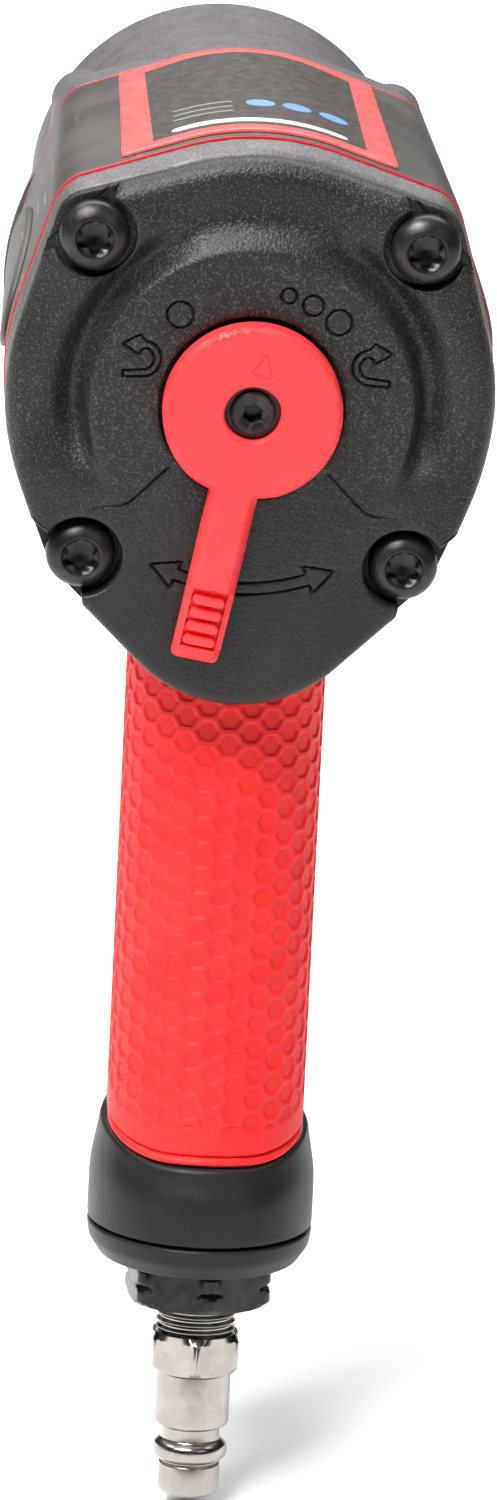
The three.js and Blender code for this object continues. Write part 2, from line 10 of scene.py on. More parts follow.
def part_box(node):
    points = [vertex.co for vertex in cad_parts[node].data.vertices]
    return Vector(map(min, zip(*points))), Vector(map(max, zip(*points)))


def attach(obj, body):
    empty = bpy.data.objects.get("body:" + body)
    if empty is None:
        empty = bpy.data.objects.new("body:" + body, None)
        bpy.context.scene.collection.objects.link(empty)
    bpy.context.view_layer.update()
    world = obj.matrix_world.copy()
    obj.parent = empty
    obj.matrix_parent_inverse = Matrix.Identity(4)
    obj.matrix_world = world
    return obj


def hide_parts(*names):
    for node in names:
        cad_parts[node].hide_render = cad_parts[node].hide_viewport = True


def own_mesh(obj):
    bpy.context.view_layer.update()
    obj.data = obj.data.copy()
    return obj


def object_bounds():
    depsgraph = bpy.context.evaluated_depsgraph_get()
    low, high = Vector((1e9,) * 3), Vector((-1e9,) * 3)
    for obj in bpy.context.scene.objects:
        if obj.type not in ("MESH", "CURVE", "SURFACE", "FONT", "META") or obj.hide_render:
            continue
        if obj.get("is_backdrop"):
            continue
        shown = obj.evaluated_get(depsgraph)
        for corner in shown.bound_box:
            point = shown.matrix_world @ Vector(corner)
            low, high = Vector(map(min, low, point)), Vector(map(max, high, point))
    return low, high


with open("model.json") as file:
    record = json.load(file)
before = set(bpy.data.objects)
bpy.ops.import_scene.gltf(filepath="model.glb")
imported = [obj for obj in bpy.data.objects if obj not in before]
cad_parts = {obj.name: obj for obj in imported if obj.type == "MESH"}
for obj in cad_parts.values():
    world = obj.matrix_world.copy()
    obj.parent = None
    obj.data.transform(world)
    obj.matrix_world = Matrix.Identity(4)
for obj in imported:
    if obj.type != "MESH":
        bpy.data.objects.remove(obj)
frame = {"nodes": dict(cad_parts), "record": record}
CAD_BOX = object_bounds()

# ---- Sizes, in millimetres
# The tool's frame: x to the right and z up from the tool's axis, y forward from the selector's face.
# The handle's frame: u to the right, v forward across the handle, w up along it.
MM = 0.001
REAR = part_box("selector_knob")[0].y / MM
HANDLE_TOP = 42
RAKE = radians(10)
INLET = -4  # the air inlet's axis, in v

# Each bolt's place (x, z), and how far its pocket opens either side of outward, in degrees.
BOLTS = {(25.4, 25.5): (68, 68), (-25.4, 25.5): (68, 68), (25.2, -25.4): (49, 80), (-25.2, -25.4): (80, 49)}

# Outlines are belts pulled tight round circles (x, z, radius).
BARREL = [(0, 0, 38.1), (0, 1.5, 38.25), (24.9, 26, 7.2), (-24.9, 26, 7.2)]
BARREL += [(25.2, -25.4, 5), (-25.2, -25.4, 5)]
BULGE = [(0, -27.2, 21.6), (25.2, -25.4, 5.2), (-25.2, -25.4, 5.2)]
COVER_EDGE = [(0, 0, 38.05), (0, -27.2, 21.8)] + [(x, z, 6.45 if z > 0 else 5.3) for x, z in BOLTS]
STEM = [(0, 3.6, 13.4), (0, -3.6, 13.4)]
NARROWING = 0.045 / 58  # how much of its width the barrel loses with each millimetre forward
NARROW_FROM = 16.9
JACKET_FOOT = -24


def columns(*values):
    """Points with one column for each value; a single number fills its column."""
    return np.stack(np.broadcast_arrays(*values), 1)


def tool(points):
    """Points in the tool's frame, as metres in the part's frame."""
    return (np.array(points, float).reshape(-1, 3) + [0, REAR, 0]) * MM


def handle(points):
    """Points in the handle's frame, as metres in the part's frame."""
    u, v, w = np.array(points, float).reshape(-1, 3).T
    return tool(columns(u, HANDLE_TOP + v * cos(RAKE) + w * sin(RAKE), -v * sin(RAKE) + w * cos(RAKE)))


def ease(x, low, high):
    """0 below low, 1 above high, smooth between them."""
    t = np.clip((np.asarray(x, float) - low) / (high - low), 0, 1)
    return t * t * (3 - 2 * t)


def mix(a, b, t):
    return a + (b - a) * t


# ---- Making pieces
def link(name, data):
    item = bpy.data.objects.new(name, data)
    bpy.context.scene.collection.objects.link(item)
    return item


class Shell:
    """Points and faces of one piece, joined up from closed parts."""

    def __init__(self):
        self.points = []
        self.faces = []
        self.count = 0

    def add(self, points, faces):
        self.points.append(np.asarray(points, float))
        self.faces += [[i + self.count for i in f] for f in faces]
        self.count += len(points)
        return self

    def loft(self, rings, closed=False):
        """Walls between rings of the same number of points; the first and last are capped unless closed."""
        n = len(rings[0])
        rows = len(rings)
        faces = []
        for r in range(rows if closed else rows - 1):
            a, b = r * n, (r + 1) % rows * n
            faces += [[a + i, a + (i + 1) % n, b + (i + 1) % n, b + i] for i in range(n)]
        points = np.concatenate(rings)
        if not closed:
            points = np.concatenate([points, [rings[0].mean(0), rings[-1].mean(0)]])
            low, high, last = rows * n, rows * n + 1, (rows - 1) * n
            faces += [[low, (i + 1) % n, i] for i in range(n)]
            faces += [[high, last + i, last + (i + 1) % n] for i in range(n)]
        return self.add(points, faces)

    def build(self, name):
        mesh = bpy.data.meshes.new(name)
        mesh.from_pydata(np.concatenate(self.points).tolist(), [], self.faces)
        work = bmesh.new()
        work.from_mesh(mesh)
        bmesh.ops.remove_doubles(work, verts=work.verts, dist=1e-7)
        bmesh.ops.recalc_face_normals(work, faces=work.faces)
        work.to_mesh(mesh)
        work.free()
        return link(name, mesh)

    def piece(self, name, node, slot, crease=40, body="housing"):
        return finish_piece(self.build(name), node, slot, crease, body)


def finish_piece(piece, node, slot, crease, body="housing"):
    """Hides the CAD node a piece stands for and gives the piece its material and its body; crease is in
    degrees.
    """
    piece.data.shade_smooth()
    piece.data.set_sharp_from_angle(angle=radians(crease))
    piece.data.materials.clear()
    piece.data.materials.append(MATERIALS[slot])
    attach(piece, body)
    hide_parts(node)
    return piece


def solid(rings):
    return Shell().loft(rings).build("solid")


def apply_modifiers(piece):
    graph = bpy.context.evaluated_depsgraph_get()
    mesh = bpy.data.meshes.new_from_object(piece.evaluated_get(graph))
    piece.modifiers.clear()
    piece.data = mesh


def combine(piece, other, operation):
    """Joins other to piece, cuts it away or keeps what both share, and removes other."""
    step = piece.modifiers.new("combine", "BOOLEAN")
    step.operation = operation
    step.solver = "MANIFOLD"
    step.object = other
    apply_modifiers(piece)
    bpy.data.objects.remove(other)


# ---- Outlines
def around(count):
    """The angles of count even steps round a full turn."""
    return np.arange(count) * 2 * pi / count


def polar(radius, angles, centre=(0, 0)):
    return columns(centre[0] + radius * np.cos(angles), centre[1] + radius * np.sin(angles))


def off_axis(p):
    return np.hypot(p[:, 0], p[:, 1])


def circle(radius, count=96, centre=(0, 0)):
    return polar(radius, around(count), centre)


def arc(radius, first, last, step=0.3, centre=(0, 0)):
    """Points along an arc; the angles are in degrees from straight up, clockwise seen from behind."""
    count = max(3, int(abs(radians(last - first)) * radius / step) + 1)
    a = np.radians(np.linspace(first, last, count))
    return columns(centre[0] + radius * np.sin(a), centre[1] + radius * np.cos(a))


def belt(circles, grow=0.0, count=360):
    """A belt pulled tight round circles, each grown by the same amount."""
    normal = circle(1, count)
    c = np.array(circles, float)
    best = np.argmax(normal @ c[:, :2].T + c[:, 2], 1)
    return c[best, :2] + normal * (c[best, 2] + grow)[:, None]


def far_radius(loop, angles):
    """How far the far side of a closed loop is from the axis at each angle, and 0 where a ray misses it."""
    def cross(p, q):
        return p[..., 0] * q[..., 1] - p[..., 1] * q[..., 0]

    start = loop[None]
    edge = np.roll(loop, -1, 0)[None] - start
    ray = polar(1, angles)[:, None]
    det = cross(ray, edge)
    det = np.where(np.abs(det) < 1e-12, 1e-12, det)
    along = cross(start, edge) / det
    part = cross(start, ray) / det
    hit = (part > -1e-6) & (part < 1 + 1e-6) & (along > 0)
    return np.where(hit, along, 0).max(1)


class Outline:
    """A closed outline given by its radius at each angle, with inward corners rounded off."""

    def __init__(self, loop, blur, reach=38, count=1440):
        self.angles = around(count)
        radius = far_radius(loop, self.angles)
        width = int(blur / reach / (2 * pi / count))
        bell = np.hanning(2 * width + 3)[1:-1]
        bell /= bell.sum()
        padded = np.concatenate([radius[-width:], radius, radius[:width]])
        self.radius = np.convolve(padded, bell, "valid")
        self.points = polar(self.radius, self.angles)
        slope = np.roll(self.points, -1, 0) - np.roll(self.points, 1, 0)
        self.inward = columns(-slope[:, 1], slope[:, 0]) / np.linalg.norm(slope, axis=1)[:, None]

    def inset(self, distance):
        return self.points + self.inward * distance

    def holds(self, p):
        a = np.mod(np.arctan2(p[:, 1], p[:, 0]), 2 * pi)
        limit = np.interp(a, np.append(self.angles, 2 * pi), np.append(self.radius, self.radius[0]))
        return off_axis(p) < limit + 1e-4


def nearest(points, samples):
    """The distance from each point to the nearest sample."""
    tree = kdtree.KDTree(len(samples))
    for i, s in enumerate(samples):
        tree.insert((s[0], s[1], 0), i)
    tree.balance()
    return np.array([tree.find((p[0], p[1], 0))[2] for p in points])


def walk(path, step=None, closed=False, count=None):
    """Points at an even step along a path of straight lines, or a given count of them."""
    path = np.array(path, float)
    if closed:
        path = np.concatenate([path, path[:1]])
    length = np.append(0, np.cumsum(np.linalg.norm(np.diff(path, axis=0), axis=1)))
    s = np.linspace(0, length[-1], count or max(2, int(round(length[-1] / step)) + 1))
    points = columns(np.interp(s, length, path[:, 0]), np.interp(s, length, path[:, 1]))
    return points[:-1] if closed else points


def stroke_rows(path, offsets, closed):
    """Rows of points on both sides of a path, so that an engraved line there comes out clean."""
    p = walk(path, 0.22, closed)
    slope = np.roll(p, -1, 0) - np.roll(p, 1, 0) if closed else np.gradient(p, axis=0)
    side = columns(-slope[:, 1], slope[:, 0]) / (np.linalg.norm(slope, axis=1)[:, None] + 1e-9)
    return np.concatenate([p + side * o for o in offsets])


def spread(outline, spacing):
    """A honeycomb of points over the box round an outline."""
    (x0, z0), (x1, z1) = outline.min(0), outline.max(0)
    levels = np.arange(z0, z1, spacing * 0.866)
    rows = [np.arange(x0 + i % 2 * spacing / 2, x1, spacing) for i in range(len(levels))]
    return np.concatenate([columns(x, z) for x, z in zip(rows, levels)])


def rim_of(triangles):
    """The outer loop of a sheet of triangles, in order."""
    edges = dict.fromkeys((p, q) for a, b, c in triangles.tolist() for p, q in ((a, b), (b, c), (c, a)))
    follow = {p: q for p, q in edges if (q, p) not in edges}
    loop = [next(iter(follow))]
    while follow[loop[-1]] != loop[0]:
        loop.append(follow[loop[-1]])
    return loop


def with_spaced(fixed, loose, gap):
    """The fixed points, and those loose ones that don't lie within gap of another point."""
    cells = {}
    kept = []
    for number, p in enumerate([*fixed, *loose]):
        i, j = int(p[0] // gap), int(p[1] // gap)
        close = (q for a in (-1, 0, 1) for b in (-1, 0, 1) for q in cells.get((i + a, j + b), ()))
        if number < len(fixed) or all((p[0] - q[0]) ** 2 + (p[1] - q[1]) ** 2 > gap * gap for q in close):
            cells.setdefault((i, j), []).append(p)
            kept.append(p)
    return np.array(kept)


def rear_face(points):
    """Points (x, z, y) in the tool's frame, as metres in the part's frame."""
    return tool(points[:, [0, 2, 1]])


def relief(edge, loops, loose, holds, height, back, spacing, lift=rear_face):
    """A solid plate: edge is its closed outline, height gives its face, and back is the level behind it.

    loops are closed lines where the face changes sharply, loose are more points on it, and lift turns
    (x, z, y) into the part's frame."""
    lines = []
    first = 0
    for loop in [edge, *loops]:
        n = len(loop)
        lines += [(first + i, first + (i + 1) % n) for i in range(n)]
        first += n
    points = with_spaced(np.concatenate([edge, *loops]), np.concatenate(loose), 0.1)
    grid = spread(edge, spacing)
    grid = grid[holds(grid)]
    points = np.concatenate([points, grid[nearest(grid, points) > spacing * 0.55]])
    flat, _, triangles, *_ = geometry.delaunay_2d_cdt([Vector(p) for p in points], lines, [], 0, 1e-5, False)
    flat = np.array([v[:] for v in flat])
    triangles = np.array(triangles)
    triangles = triangles[holds(flat[triangles].mean(1))]
    used, triangles = np.unique(triangles, return_inverse=True)
    flat, triangles = flat[used], triangles.reshape(-1, 3)
    rim = rim_of(triangles)
    wall = columns(flat[rim, 0], flat[rim, 1], back)
    n, m = len(flat), len(rim)
    faces = triangles.tolist()
    faces += [[rim[i], rim[(i + 1) % m], n + (i + 1) % m, n + i] for i in range(m)]
    faces += [[n + m, n + i, n + (i + 1) % m] for i in range(m)]
    return Shell().add(lift(np.concatenate([columns(*flat.T, height(flat)), wall, [wall.mean(0)]])), faces)


def rounding(distance, radius):
    """How far a face drops below its level near a rounded edge."""
    inside = np.clip(radius - distance, 0, radius)
    return radius - np.sqrt(np.maximum(radius**2 - inside**2, 0))


# ---- Rear cover
COVER_BACK = 11.2
APRON = 4.6
POCKET = 6.45
POCKET_FLOOR = 9.1
BEYOND = 10.5  # a radius about a bolt that lies outside the cover
KNOB_POCKET = 14.4
KNOB_POCKET_FLOOR = 7.2
MARK_DEPTH = 0.6
CREASE_DEPTH = 0.3
SAMPLE_STEP = 0.06
EDGE_ROUND = 3.2
EDGE_STEPS = (0.01, 0.05, 0.13, 0.25, 0.4, 0.58, 0.8, 1)
BORDER = [(12.2, -9.9), (17.2, -15.1), (18.3, -16.1), (19.6, -16.7), (21.2, -16.95), (23.5, -17), (27, -17.1)]

# The groove's depth by radius; above the knob it opens into a crown, and below it fades out.
GROOVE_STATIONS = (24, 24.5, 24.8, 25.05, 25.3, 25.6, 26, 26.5, 27.1, 27.7, 28.4, 29.2, 30.2, 31.4, 33)
GROOVE = ((0, *GROOVE_STATIONS, 50),
          (4.2, 4.2, 4.25, 4.38, 4.62, 5, 5.75, 7.1, 8.4, 9.05, 9.2, 9, 8.3, 7.3, 6.5, 6.2, 7.4))
CROWN = ((0, 24.4, 25, 25.6, 26.5, 27.7, 28.4, 29.2, 30.2, 31.4, 50),
         (4.2, 4.2, 4.4, 4.85, 5.7, 6.6, 7, 7.3, 7.45, 7.5, 7.6))
FADED = ((0, 24, 26, 30, 50), (4.2, 4.2, 4.35, 4.8, 5.6))


def turned_arrow(side, shift):
    """The outline of a small arrow that turns back on itself; side is -1 at the left and +1 at the right."""
    turn = (17.2 + shift, 7.1)
    head = [(17.7, 10.95), (20.5, 9.35), (17.7, 7.7), (17.5, 8.45)]
    tail = [(20.2, 5.1), (20.2, 4.1)]
    path = [(x + shift, z) for x, z in head]
    path += [*arc(1.75, -15, -165, 0.25, turn)]
    path += [(x + shift, z) for x, z in tail]
    path += [*arc(2.85, -170, -8, 0.25, turn)]
    return np.array(path) * [side, 1]


def sweep_arrow():
    """The double-ended arrow under the knob, along an arc about the tool's axis."""
    def tip(*corners):
        return [arc(radius, angle, angle + 1e-3, 1)[0] for radius, angle in corners]

    left = tip((31.8, 200.6), (29.7, 208.8), (27.1, 200.2))
    right = tip((27.1, 159.8), (29.7, 151.2), (31.8, 159.4))
    return np.concatenate([arc(30.4, 159.6, 200.4), left, arc(28.5, 200.4, 159.6), right])


MARKS = [
    circle(2.05, 48, (-11.8, 14.3)),
    circle(1.2, 32, (4.7, 18)),
    circle(1.6, 40, (8.5, 16.6)),
    circle(2, 48, (12.6, 14.1)),
    turned_arrow(-1, 0),
    turned_arrow(1, 0.75),
    sweep_arrow(),
]


def pocket_offset(p, bolt):
    """Signed distance into a bolt's pocket, which is open towards the cover's outside."""
    d = p - np.array(bolt)
    reach = off_axis(d)
    turn = np.mod(np.arctan2(d[:, 1], d[:, 0]) - atan2(bolt[1], bolt[0]) + pi, 2 * pi) - pi
    low, high = np.radians(BOLTS[bolt])
    wedge = np.where(reach > 5, np.maximum(turn - high, -turn - low) * reach, 9)
    return np.minimum(reach - POCKET, wedge)


def pocket_loop(bolt, offset):
    """A line that stays offset from a bolt's pocket and closes outside the cover."""
    outward = atan2(bolt[1], bolt[0])
    low, high = np.radians(BOLTS[bolt]) + offset / 7
    angles = [*np.linspace(outward + high, outward + 2 * pi - low, 70), outward - low, outward + high]
    return polar(np.array([POCKET + offset] * 70 + [BEYOND] * 2), np.array(angles), bolt)


def apron_share(p):
    """1 on the flat apron below the knob, 0 on the turned part of the cover."""
    x, z = np.abs(p[:, 0]), p[:, 1]
    gap = np.interp(x, *np.array(BORDER).T) - z
    soft = ease(x, 19, 26)
    return ease(gap, -0.2 - 9 * soft, 0.25 + 2 * soft) * (z < -6)


def rear_cover():
    outline = Outline(belt(COVER_EDGE, 0, 1440), 0.6)
    borders = (BORDER, [(-x, z) for x, z in BORDER[::-1]])
    marks = np.concatenate([walk(m, SAMPLE_STEP, True) for m in MARKS])
    border = np.concatenate([walk(line, SAMPLE_STEP) for line in borders])

    def height(p):
        radius = off_axis(p)
        from_top = np.degrees(np.arctan2(np.abs(p[:, 0]), p[:, 1]))
        ring = mix(np.interp(radius, *CROWN), np.interp(radius, *GROOVE), ease(from_top, 18, 42))
        apron = apron_share(p)
        level = mix(ring, np.interp(radius, *FADED), ease(-p[:, 1], 1, 15.5))
        level = mix(level, APRON, apron)
        edge = nearest(p, outline.points)
        level = level + rounding(edge, EDGE_ROUND) * (1 - apron) + rounding(edge, EDGE_ROUND / 2) * apron
        level = level + MARK_DEPTH * (1 - ease(nearest(p, marks), 0.12, 0.34))
        crease = ease(-np.abs(p[:, 0]), -25, -20) * ease(np.abs(p[:, 0]), 11.5, 13)
        level = level + CREASE_DEPTH * crease * (1 - ease(nearest(p, border), 0.06, 0.3))
        knob = radius - KNOB_POCKET
        level = mix(level + 0.18 * (1 - ease(knob, 0, 0.25)), KNOB_POCKET_FLOOR, knob < 0)
        for bolt in BOLTS:
            offset = pocket_offset(p, bolt)
            lip = 0.3 * (1 - ease(offset, 0, 0.45)) ** 2
            level = np.where(offset < 0, np.maximum(level, POCKET_FLOOR), level + lip)
        return np.minimum(level, COVER_BACK - 0.4)

    loops = [circle(KNOB_POCKET + step, 180) for step in (0.04, -0.04, 0.25)]
    loops += [pocket_loop(bolt, offset) for bolt in BOLTS for offset in (-0.04, 0.04, 0.2, 0.45)]
    loose = [outline.inset(EDGE_ROUND * s)[::3] for s in EDGE_STEPS]
    loose += [circle(r, 420) for r in GROOVE_STATIONS]
    loose += [stroke_rows(m, (0, -0.1, 0.1, -0.3, 0.3), True) for m in MARKS]
    loose += [stroke_rows(line, (-0.3, -0.1, 0, 0.1, 0.3), False) for line in borders]
    loose = [p[outline.holds(p * 1.003)] for p in loose]
    shell = relief(outline.points[::3], loops, loose, outline.holds, height, back=COVER_BACK, spacing=0.9)
    return shell.piece("cover_shell", "rear_cover", "cover_plastic")


# ---- Selector
LEVER_ANGLE = radians(9.6)
DISC = 13.85
LEVER_HALF = 3.75
LEVER_TIP = 41.5
LEVER_CORNER = 1.1
RIDGES = (30.95, 37.85)
RIDGE_STEP = 2.3
SCREW_WELL = 4.35


def turn_lever(points):
    """Turns (x, z, y) about the tool's axis by the lever's rest angle."""
    x, z, y = points.T
    c, s = cos(LEVER_ANGLE), sin(LEVER_ANGLE)
    return rear_face(columns(x * c + z * s, z * c - x * s, y))


def knob_outline():
    """The knob's disc and its lever, with the lever straight down."""
    join = degrees(asin(LEVER_HALF / DISC))
    low = LEVER_CORNER - LEVER_TIP
    turn = arc(LEVER_CORNER, 90, 180, 0.2, (LEVER_HALF - LEVER_CORNER, low))
    side = np.concatenate([walk([(LEVER_HALF, -DISC - 1), (LEVER_HALF, low)], 0.4), turn])
    return np.concatenate([arc(DISC, -180 + join, 180 - join), side, (side * [-1, 1])[::-1]])


def selector_knob():
    edge = knob_outline()
    samples = walk(edge, 0.05, True)
    triangle = [(0, 9.9), (1.75, 6.2), (-1.75, 6.4)]
    marks = walk(triangle, 0.05, True)

    def holds(p):
        x, z = np.abs(p[:, 0]), p[:, 1]
        lever = (x < LEVER_HALF) & (z < 0) & (z > -LEVER_TIP)
        cx, cz = LEVER_HALF - LEVER_CORNER, LEVER_CORNER - LEVER_TIP
        corner = (x > cx) & (z < cz) & (np.hypot(x - cx, z - cz) > LEVER_CORNER)
        return (np.hypot(x, z) < DISC) | (lever & ~corner)

    def height(p):
        x, t = np.abs(p[:, 0]), -p[:, 1]
        edge_gap = nearest(p, samples)
        phase = np.mod(t - RIDGES[0] + RIDGE_STEP / 2, RIDGE_STEP) - RIDGE_STEP / 2
        pill = np.hypot(np.maximum(x - 1.75, 0), phase) - 0.8
        pill = np.where((t > RIDGES[0] - 1) & (t < RIDGES[1] + 1), pill, 9)
        crest = np.interp(t, [29, LEVER_TIP], [0.1, 1.7]) + rounding(-pill, 0.5)
        well = np.interp(t, [29, 39, 39.4], [1.6, 2.7, 2])
        inner = np.where(pill < 0, crest, mix(well, np.minimum(well, crest + 0.3), 1 - ease(pill, 0, 0.14)))
        side = np.clip(1.2 - edge_gap, 0, 1.2) * 1.5
        outer = side + np.interp(t, [27, LEVER_TIP], [0.2, 1.6])
        trough = mix(inner, np.minimum(inner, outer), ease(x, 2.6, 2.8))
        trough = np.where(t > 39.1, np.maximum(outer, 1.9), trough)
        lever = mix(side, trough, ease(t, 29, 29.3))
        level = mix(rounding(edge_gap, 1), lever, ease(t, 11.5, 14))
        level = level + 0.16 * (1 - ease(nearest(p, marks), 0.05, 0.22))
        bore = off_axis(p) - SCREW_WELL
        return np.where(bore < 0, 4.4, level + 0.5 * (1 - ease(bore, 0, 0.55)) ** 2)

    loose = [stroke_rows(edge, (0.05, 0.15, 0.3, 0.5, 0.75, 1, 1.35), True)]
    loose = [p[holds(p)] for p in loose]
    loose += [stroke_rows(triangle, (0, -0.08, 0.08, -0.22, 0.22), True)]
    loose += [circle(r, 90) for r in (4.5, 4.65, 4.9, 5.3)]
    half = [0.9, 1.8, 2.15, 2.35, 2.5, 2.6, 2.7, 2.8]
    rows = [-x for x in half[::-1]] + [0] + half
    loose += [columns(x, np.linspace(-40.3, -28.6, 120)) for x in rows]
    loops = [circle(SCREW_WELL - 0.04, 90), circle(SCREW_WELL + 0.04, 90)]
    shell = relief(edge, loops, loose, holds, height, back=3.9, spacing=0.7, lift=turn_lever)
    shell.loft(turned([(5.8, 3.8), (6, 4), (6, 6.9), (5.8, 7.1)], 64))
    return shell.piece("selector_grip", "selector_knob", "selector_plastic", 35, body="selector")


# ---- Rings for turned and lofted pieces
def ring_at(loop, y):
    """A loop of (x, z) at a station along the tool."""
    return tool(columns(loop[:, 0], y, loop[:, 1]))


def handle_ring(loop, w):
    """A loop of (u, v) at a height along the handle."""
    return handle(columns(loop[:, 0], loop[:, 1], w))


def turned(profile, count=96):
    """Rings for a profile of (radius, y) about the tool's axis."""
    return [ring_at(circle(r, count), y) for r, y in profile]


def upright(profile, count):
    """Rings for a profile of (radius, w) about the inlet's axis."""
    return [handle_ring(circle(r, count, (0, INLET)), w) for r, w in profile]


def bevelled(profile, radius=0.3, steps=3):
    """Rounds the corners of a profile of (radius, station)."""
    p = np.array(profile, float)
    out = [p[0]]
    for a, b, c in zip(p, p[1:], p[2:]):
        before, after = a - b, c - b
        la, lc = np.linalg.norm(before), np.linalg.norm(after)
        r = min(radius, la * 0.45, lc * 0.45)
        start, end = b + before / la * r, b + after / lc * r
        out += [mix(mix(start, b, t), mix(b, end, t), t) for t in np.linspace(0, 1, steps + 1)]
    return out + [p[-1]]


def wire(outward, radius, offset, along, thickness, count):
    """A ring of round wire: its section stands across outward and along, at radius from offset."""
    section = circle(thickness, count)
    return outward * radius + offset + section[:, :1] * outward + section[:, 1:] * along


# ---- Bolts and screw
HEAD = 5.4
STAR_MEAN = 2.36
STAR_WAVE = 0.42


def star_reach(angle):
    """The radius of a six-lobe socket's outline, with one lobe straight down."""
    return STAR_MEAN + STAR_WAVE * np.cos(6 * (angle + pi / 2))


def rear_bolt(index, centre):
    def holds(p):
        return off_axis(p) < HEAD + 1e-4

    def height(p):
        radius = off_axis(p)
        dome = np.interp(radius, [0, 2.5, 2.95, 3.05, 3.2, 3.5, 4, 4.6, 5, 5.25, 5.4],
                         [5.6, 5.3, 4.98, 4.8, 4.76, 4.86, 5.15, 5.6, 6.05, 6.45, 7])
        gap = radius - star_reach(np.arctan2(p[:, 1], p[:, 0]))
        floor = 7.2 + 0.5 * np.clip(1 - radius / 1.9, 0, 1)
        return np.where(gap < 0, floor, dome + 0.2 * (1 - ease(gap, 0, 0.2)))

    star = around(180)
    loops = [polar(star_reach(star) + step, star) for step in (-0.04, 0.04)]
    loops += [circle(2.95, 120), circle(3.05, 120)]
    loose = [circle(r, 110) for r in (3.2, 3.35, 3.5, 3.75, 4, 4.3, 4.6, 4.8, 5, 5.12, 5.25, 5.33)]
    shift = np.array([*centre, 0])

    def lift(points):
        return rear_face(points + shift)

    shell = relief(circle(HEAD, 120), loops, loose, holds, height, back=8.6, spacing=0.4, lift=lift)
    shank = turned(bevelled([(2.3, 8.2), (2.5, 8.6), (2.5, 91), (1.9, 92)], 0.2), 32)
    shell.loft([ring + shift[[0, 2, 1]] * MM for ring in shank])
    return shell.piece(f"cover_bolt_{index}", f"rear_bolt_{index}", "black_oxide_steel", 35)


def selector_screw():
    """A screw with a hexagon socket that stands in line with the lever."""
    head = [(2, 1.05), (3.1, 1), (3.45, 1.25), (3.55, 1.6), (3.55, 2), (4.28, 2.05), (4.28, 4.2)]
    shank = [(2, 4.25), (2, 10.7), (1.6, 11)]
    angles = around(96)
    socket = 1.75 * 0.93 * cos(pi / 6) / np.cos(np.mod(angles + pi / 6 + LEVER_ANGLE, pi / 3) - pi / 6)
    rings = [ring_at(polar(socket, angles), y) for y in (3.6, 1.35)]
    shell = Shell().loft(rings + turned(head + shank))
    return shell.piece("selector_cap_screw", "selector_screw", "black_oxide_steel", 30, body="selector")


# ---- Housing
def narrowing(y):
    """The barrel's share of its full width at a station: it gets a little narrower toward the front."""
    return 1 - NARROWING * (y - NARROW_FROM)


def narrowed(loop, y):
    return loop * [narrowing(y), 1]


def slab(circles, stations):
    """Rings of a belt round circles, at stations of (grow, y)."""
    return [ring_at(narrowed(belt(circles, grow), y), y) for grow, y in stations]


def box_rings(half, v0, v1, w0, w1):
    return [handle([(-half, v0, w), (half, v0, w), (half, v1, w), (-half, v1, w)]) for w in (w0, w1)]


def motor_housing():
    """The grey casting: a rim behind the jacket, the barrel's underside, the bulge and the handle's core."""
    body = Shell().loft(slab(BARREL, [(-2.6, 11.9), (-2.2, 12.2), (-2.2, 75.9)])).build("housing_casting")
    rim = [(-2.4, 11.9), (-1.5, 11.95), (-0.15, 15.4), (-0.15, 16.8), (-2.4, 16.8)]
    combine(body, solid(slab(BARREL, bevelled(rim, 0.2))), "UNION")
    lower = solid(slab(BARREL, [(-0.6, 11.9), (0, 12.6), (0, 75.4), (-0.4, 75.9)]))
    below = [tool([(-60, 0, z), (60, 0, z), (60, 90, z), (-60, 90, z)]) for z in (-60, JACKET_FOOT - 0.3)]
    combine(lower, solid(below), "INTERSECT")
    combine(body, lower, "UNION")
    bulge = bevelled([(-1.6, 11.9), (0, 11.9), (0, 50), (-4, 55), (-9, 56.5)], 2)
    stem = [handle_ring(belt(STEM, 0, 240), w) for w in (-143, -28)]
    for rings in (slab(BULGE, bulge), stem):
        combine(body, solid(rings), "UNION")
    bore = turned([(27.3, 10), (27.3, 78)])
    trigger_pocket = box_rings(7.5, 6.4, 40, -76.4, -45)
    airway = upright([(8.3, -144), (8.3, -52)], 64)
    for rings in (bore, trigger_pocket, airway):
        combine(body, solid(rings), "DIFFERENCE")
    remesh = body.modifiers.new("remesh", "REMESH")
    remesh.mode = "VOXEL"
    remesh.voxel_size = 0.7 * MM
    smooth = body.modifiers.new("smooth", "SMOOTH")
    smooth.iterations = 6
    smooth.factor = 0.5
    apply_modifiers(body)
    return finish_piece(body, "motor_housing", "grey_casting", 60)


def upper_path(grow):
    """The belt round the barrel above the jacket's foot, from the right side over the top to the left."""
    loop = belt(BARREL, grow, 1440)
    for side in (1, -1):
        end = np.argmin(np.where(loop[:, 0] * side > 0, np.abs(loop[:, 1] - JACKET_FOOT), 99))
        loop = np.roll(loop, -end, 0) if side == 1 else loop[:end + 1]
    loop[[0, -1], 1] = JACKET_FOOT
    return walk(loop, count=300)


def jacket(profile, name, slot, node, thickness=2):
    """A shell over the top of the barrel: profile is (grow, y) along its outside."""
    inner = upper_path(-thickness)[::-1]
    rings = [ring_at(narrowed(np.concatenate([upper_path(grow), inner]), y), y) for grow, y in profile]
    return Shell().loft(rings).piece(name, node, slot)


def housing_jacket():
    profile = bevelled([(-1.2, 17.7), (0, 17.7), (0, 75), (-1.2, 75)], 0.4)
    return jacket(profile, "jacket_shell", "jacket_plastic", "housing_jacket")


def trim(name, node, y):
    profile = bevelled([(-1.2, y), (-0.02, y), (-0.02, y + 0.4), (-1.2, y + 0.4)], 0.08)
    return jacket(profile, name, "trim_plastic", node)


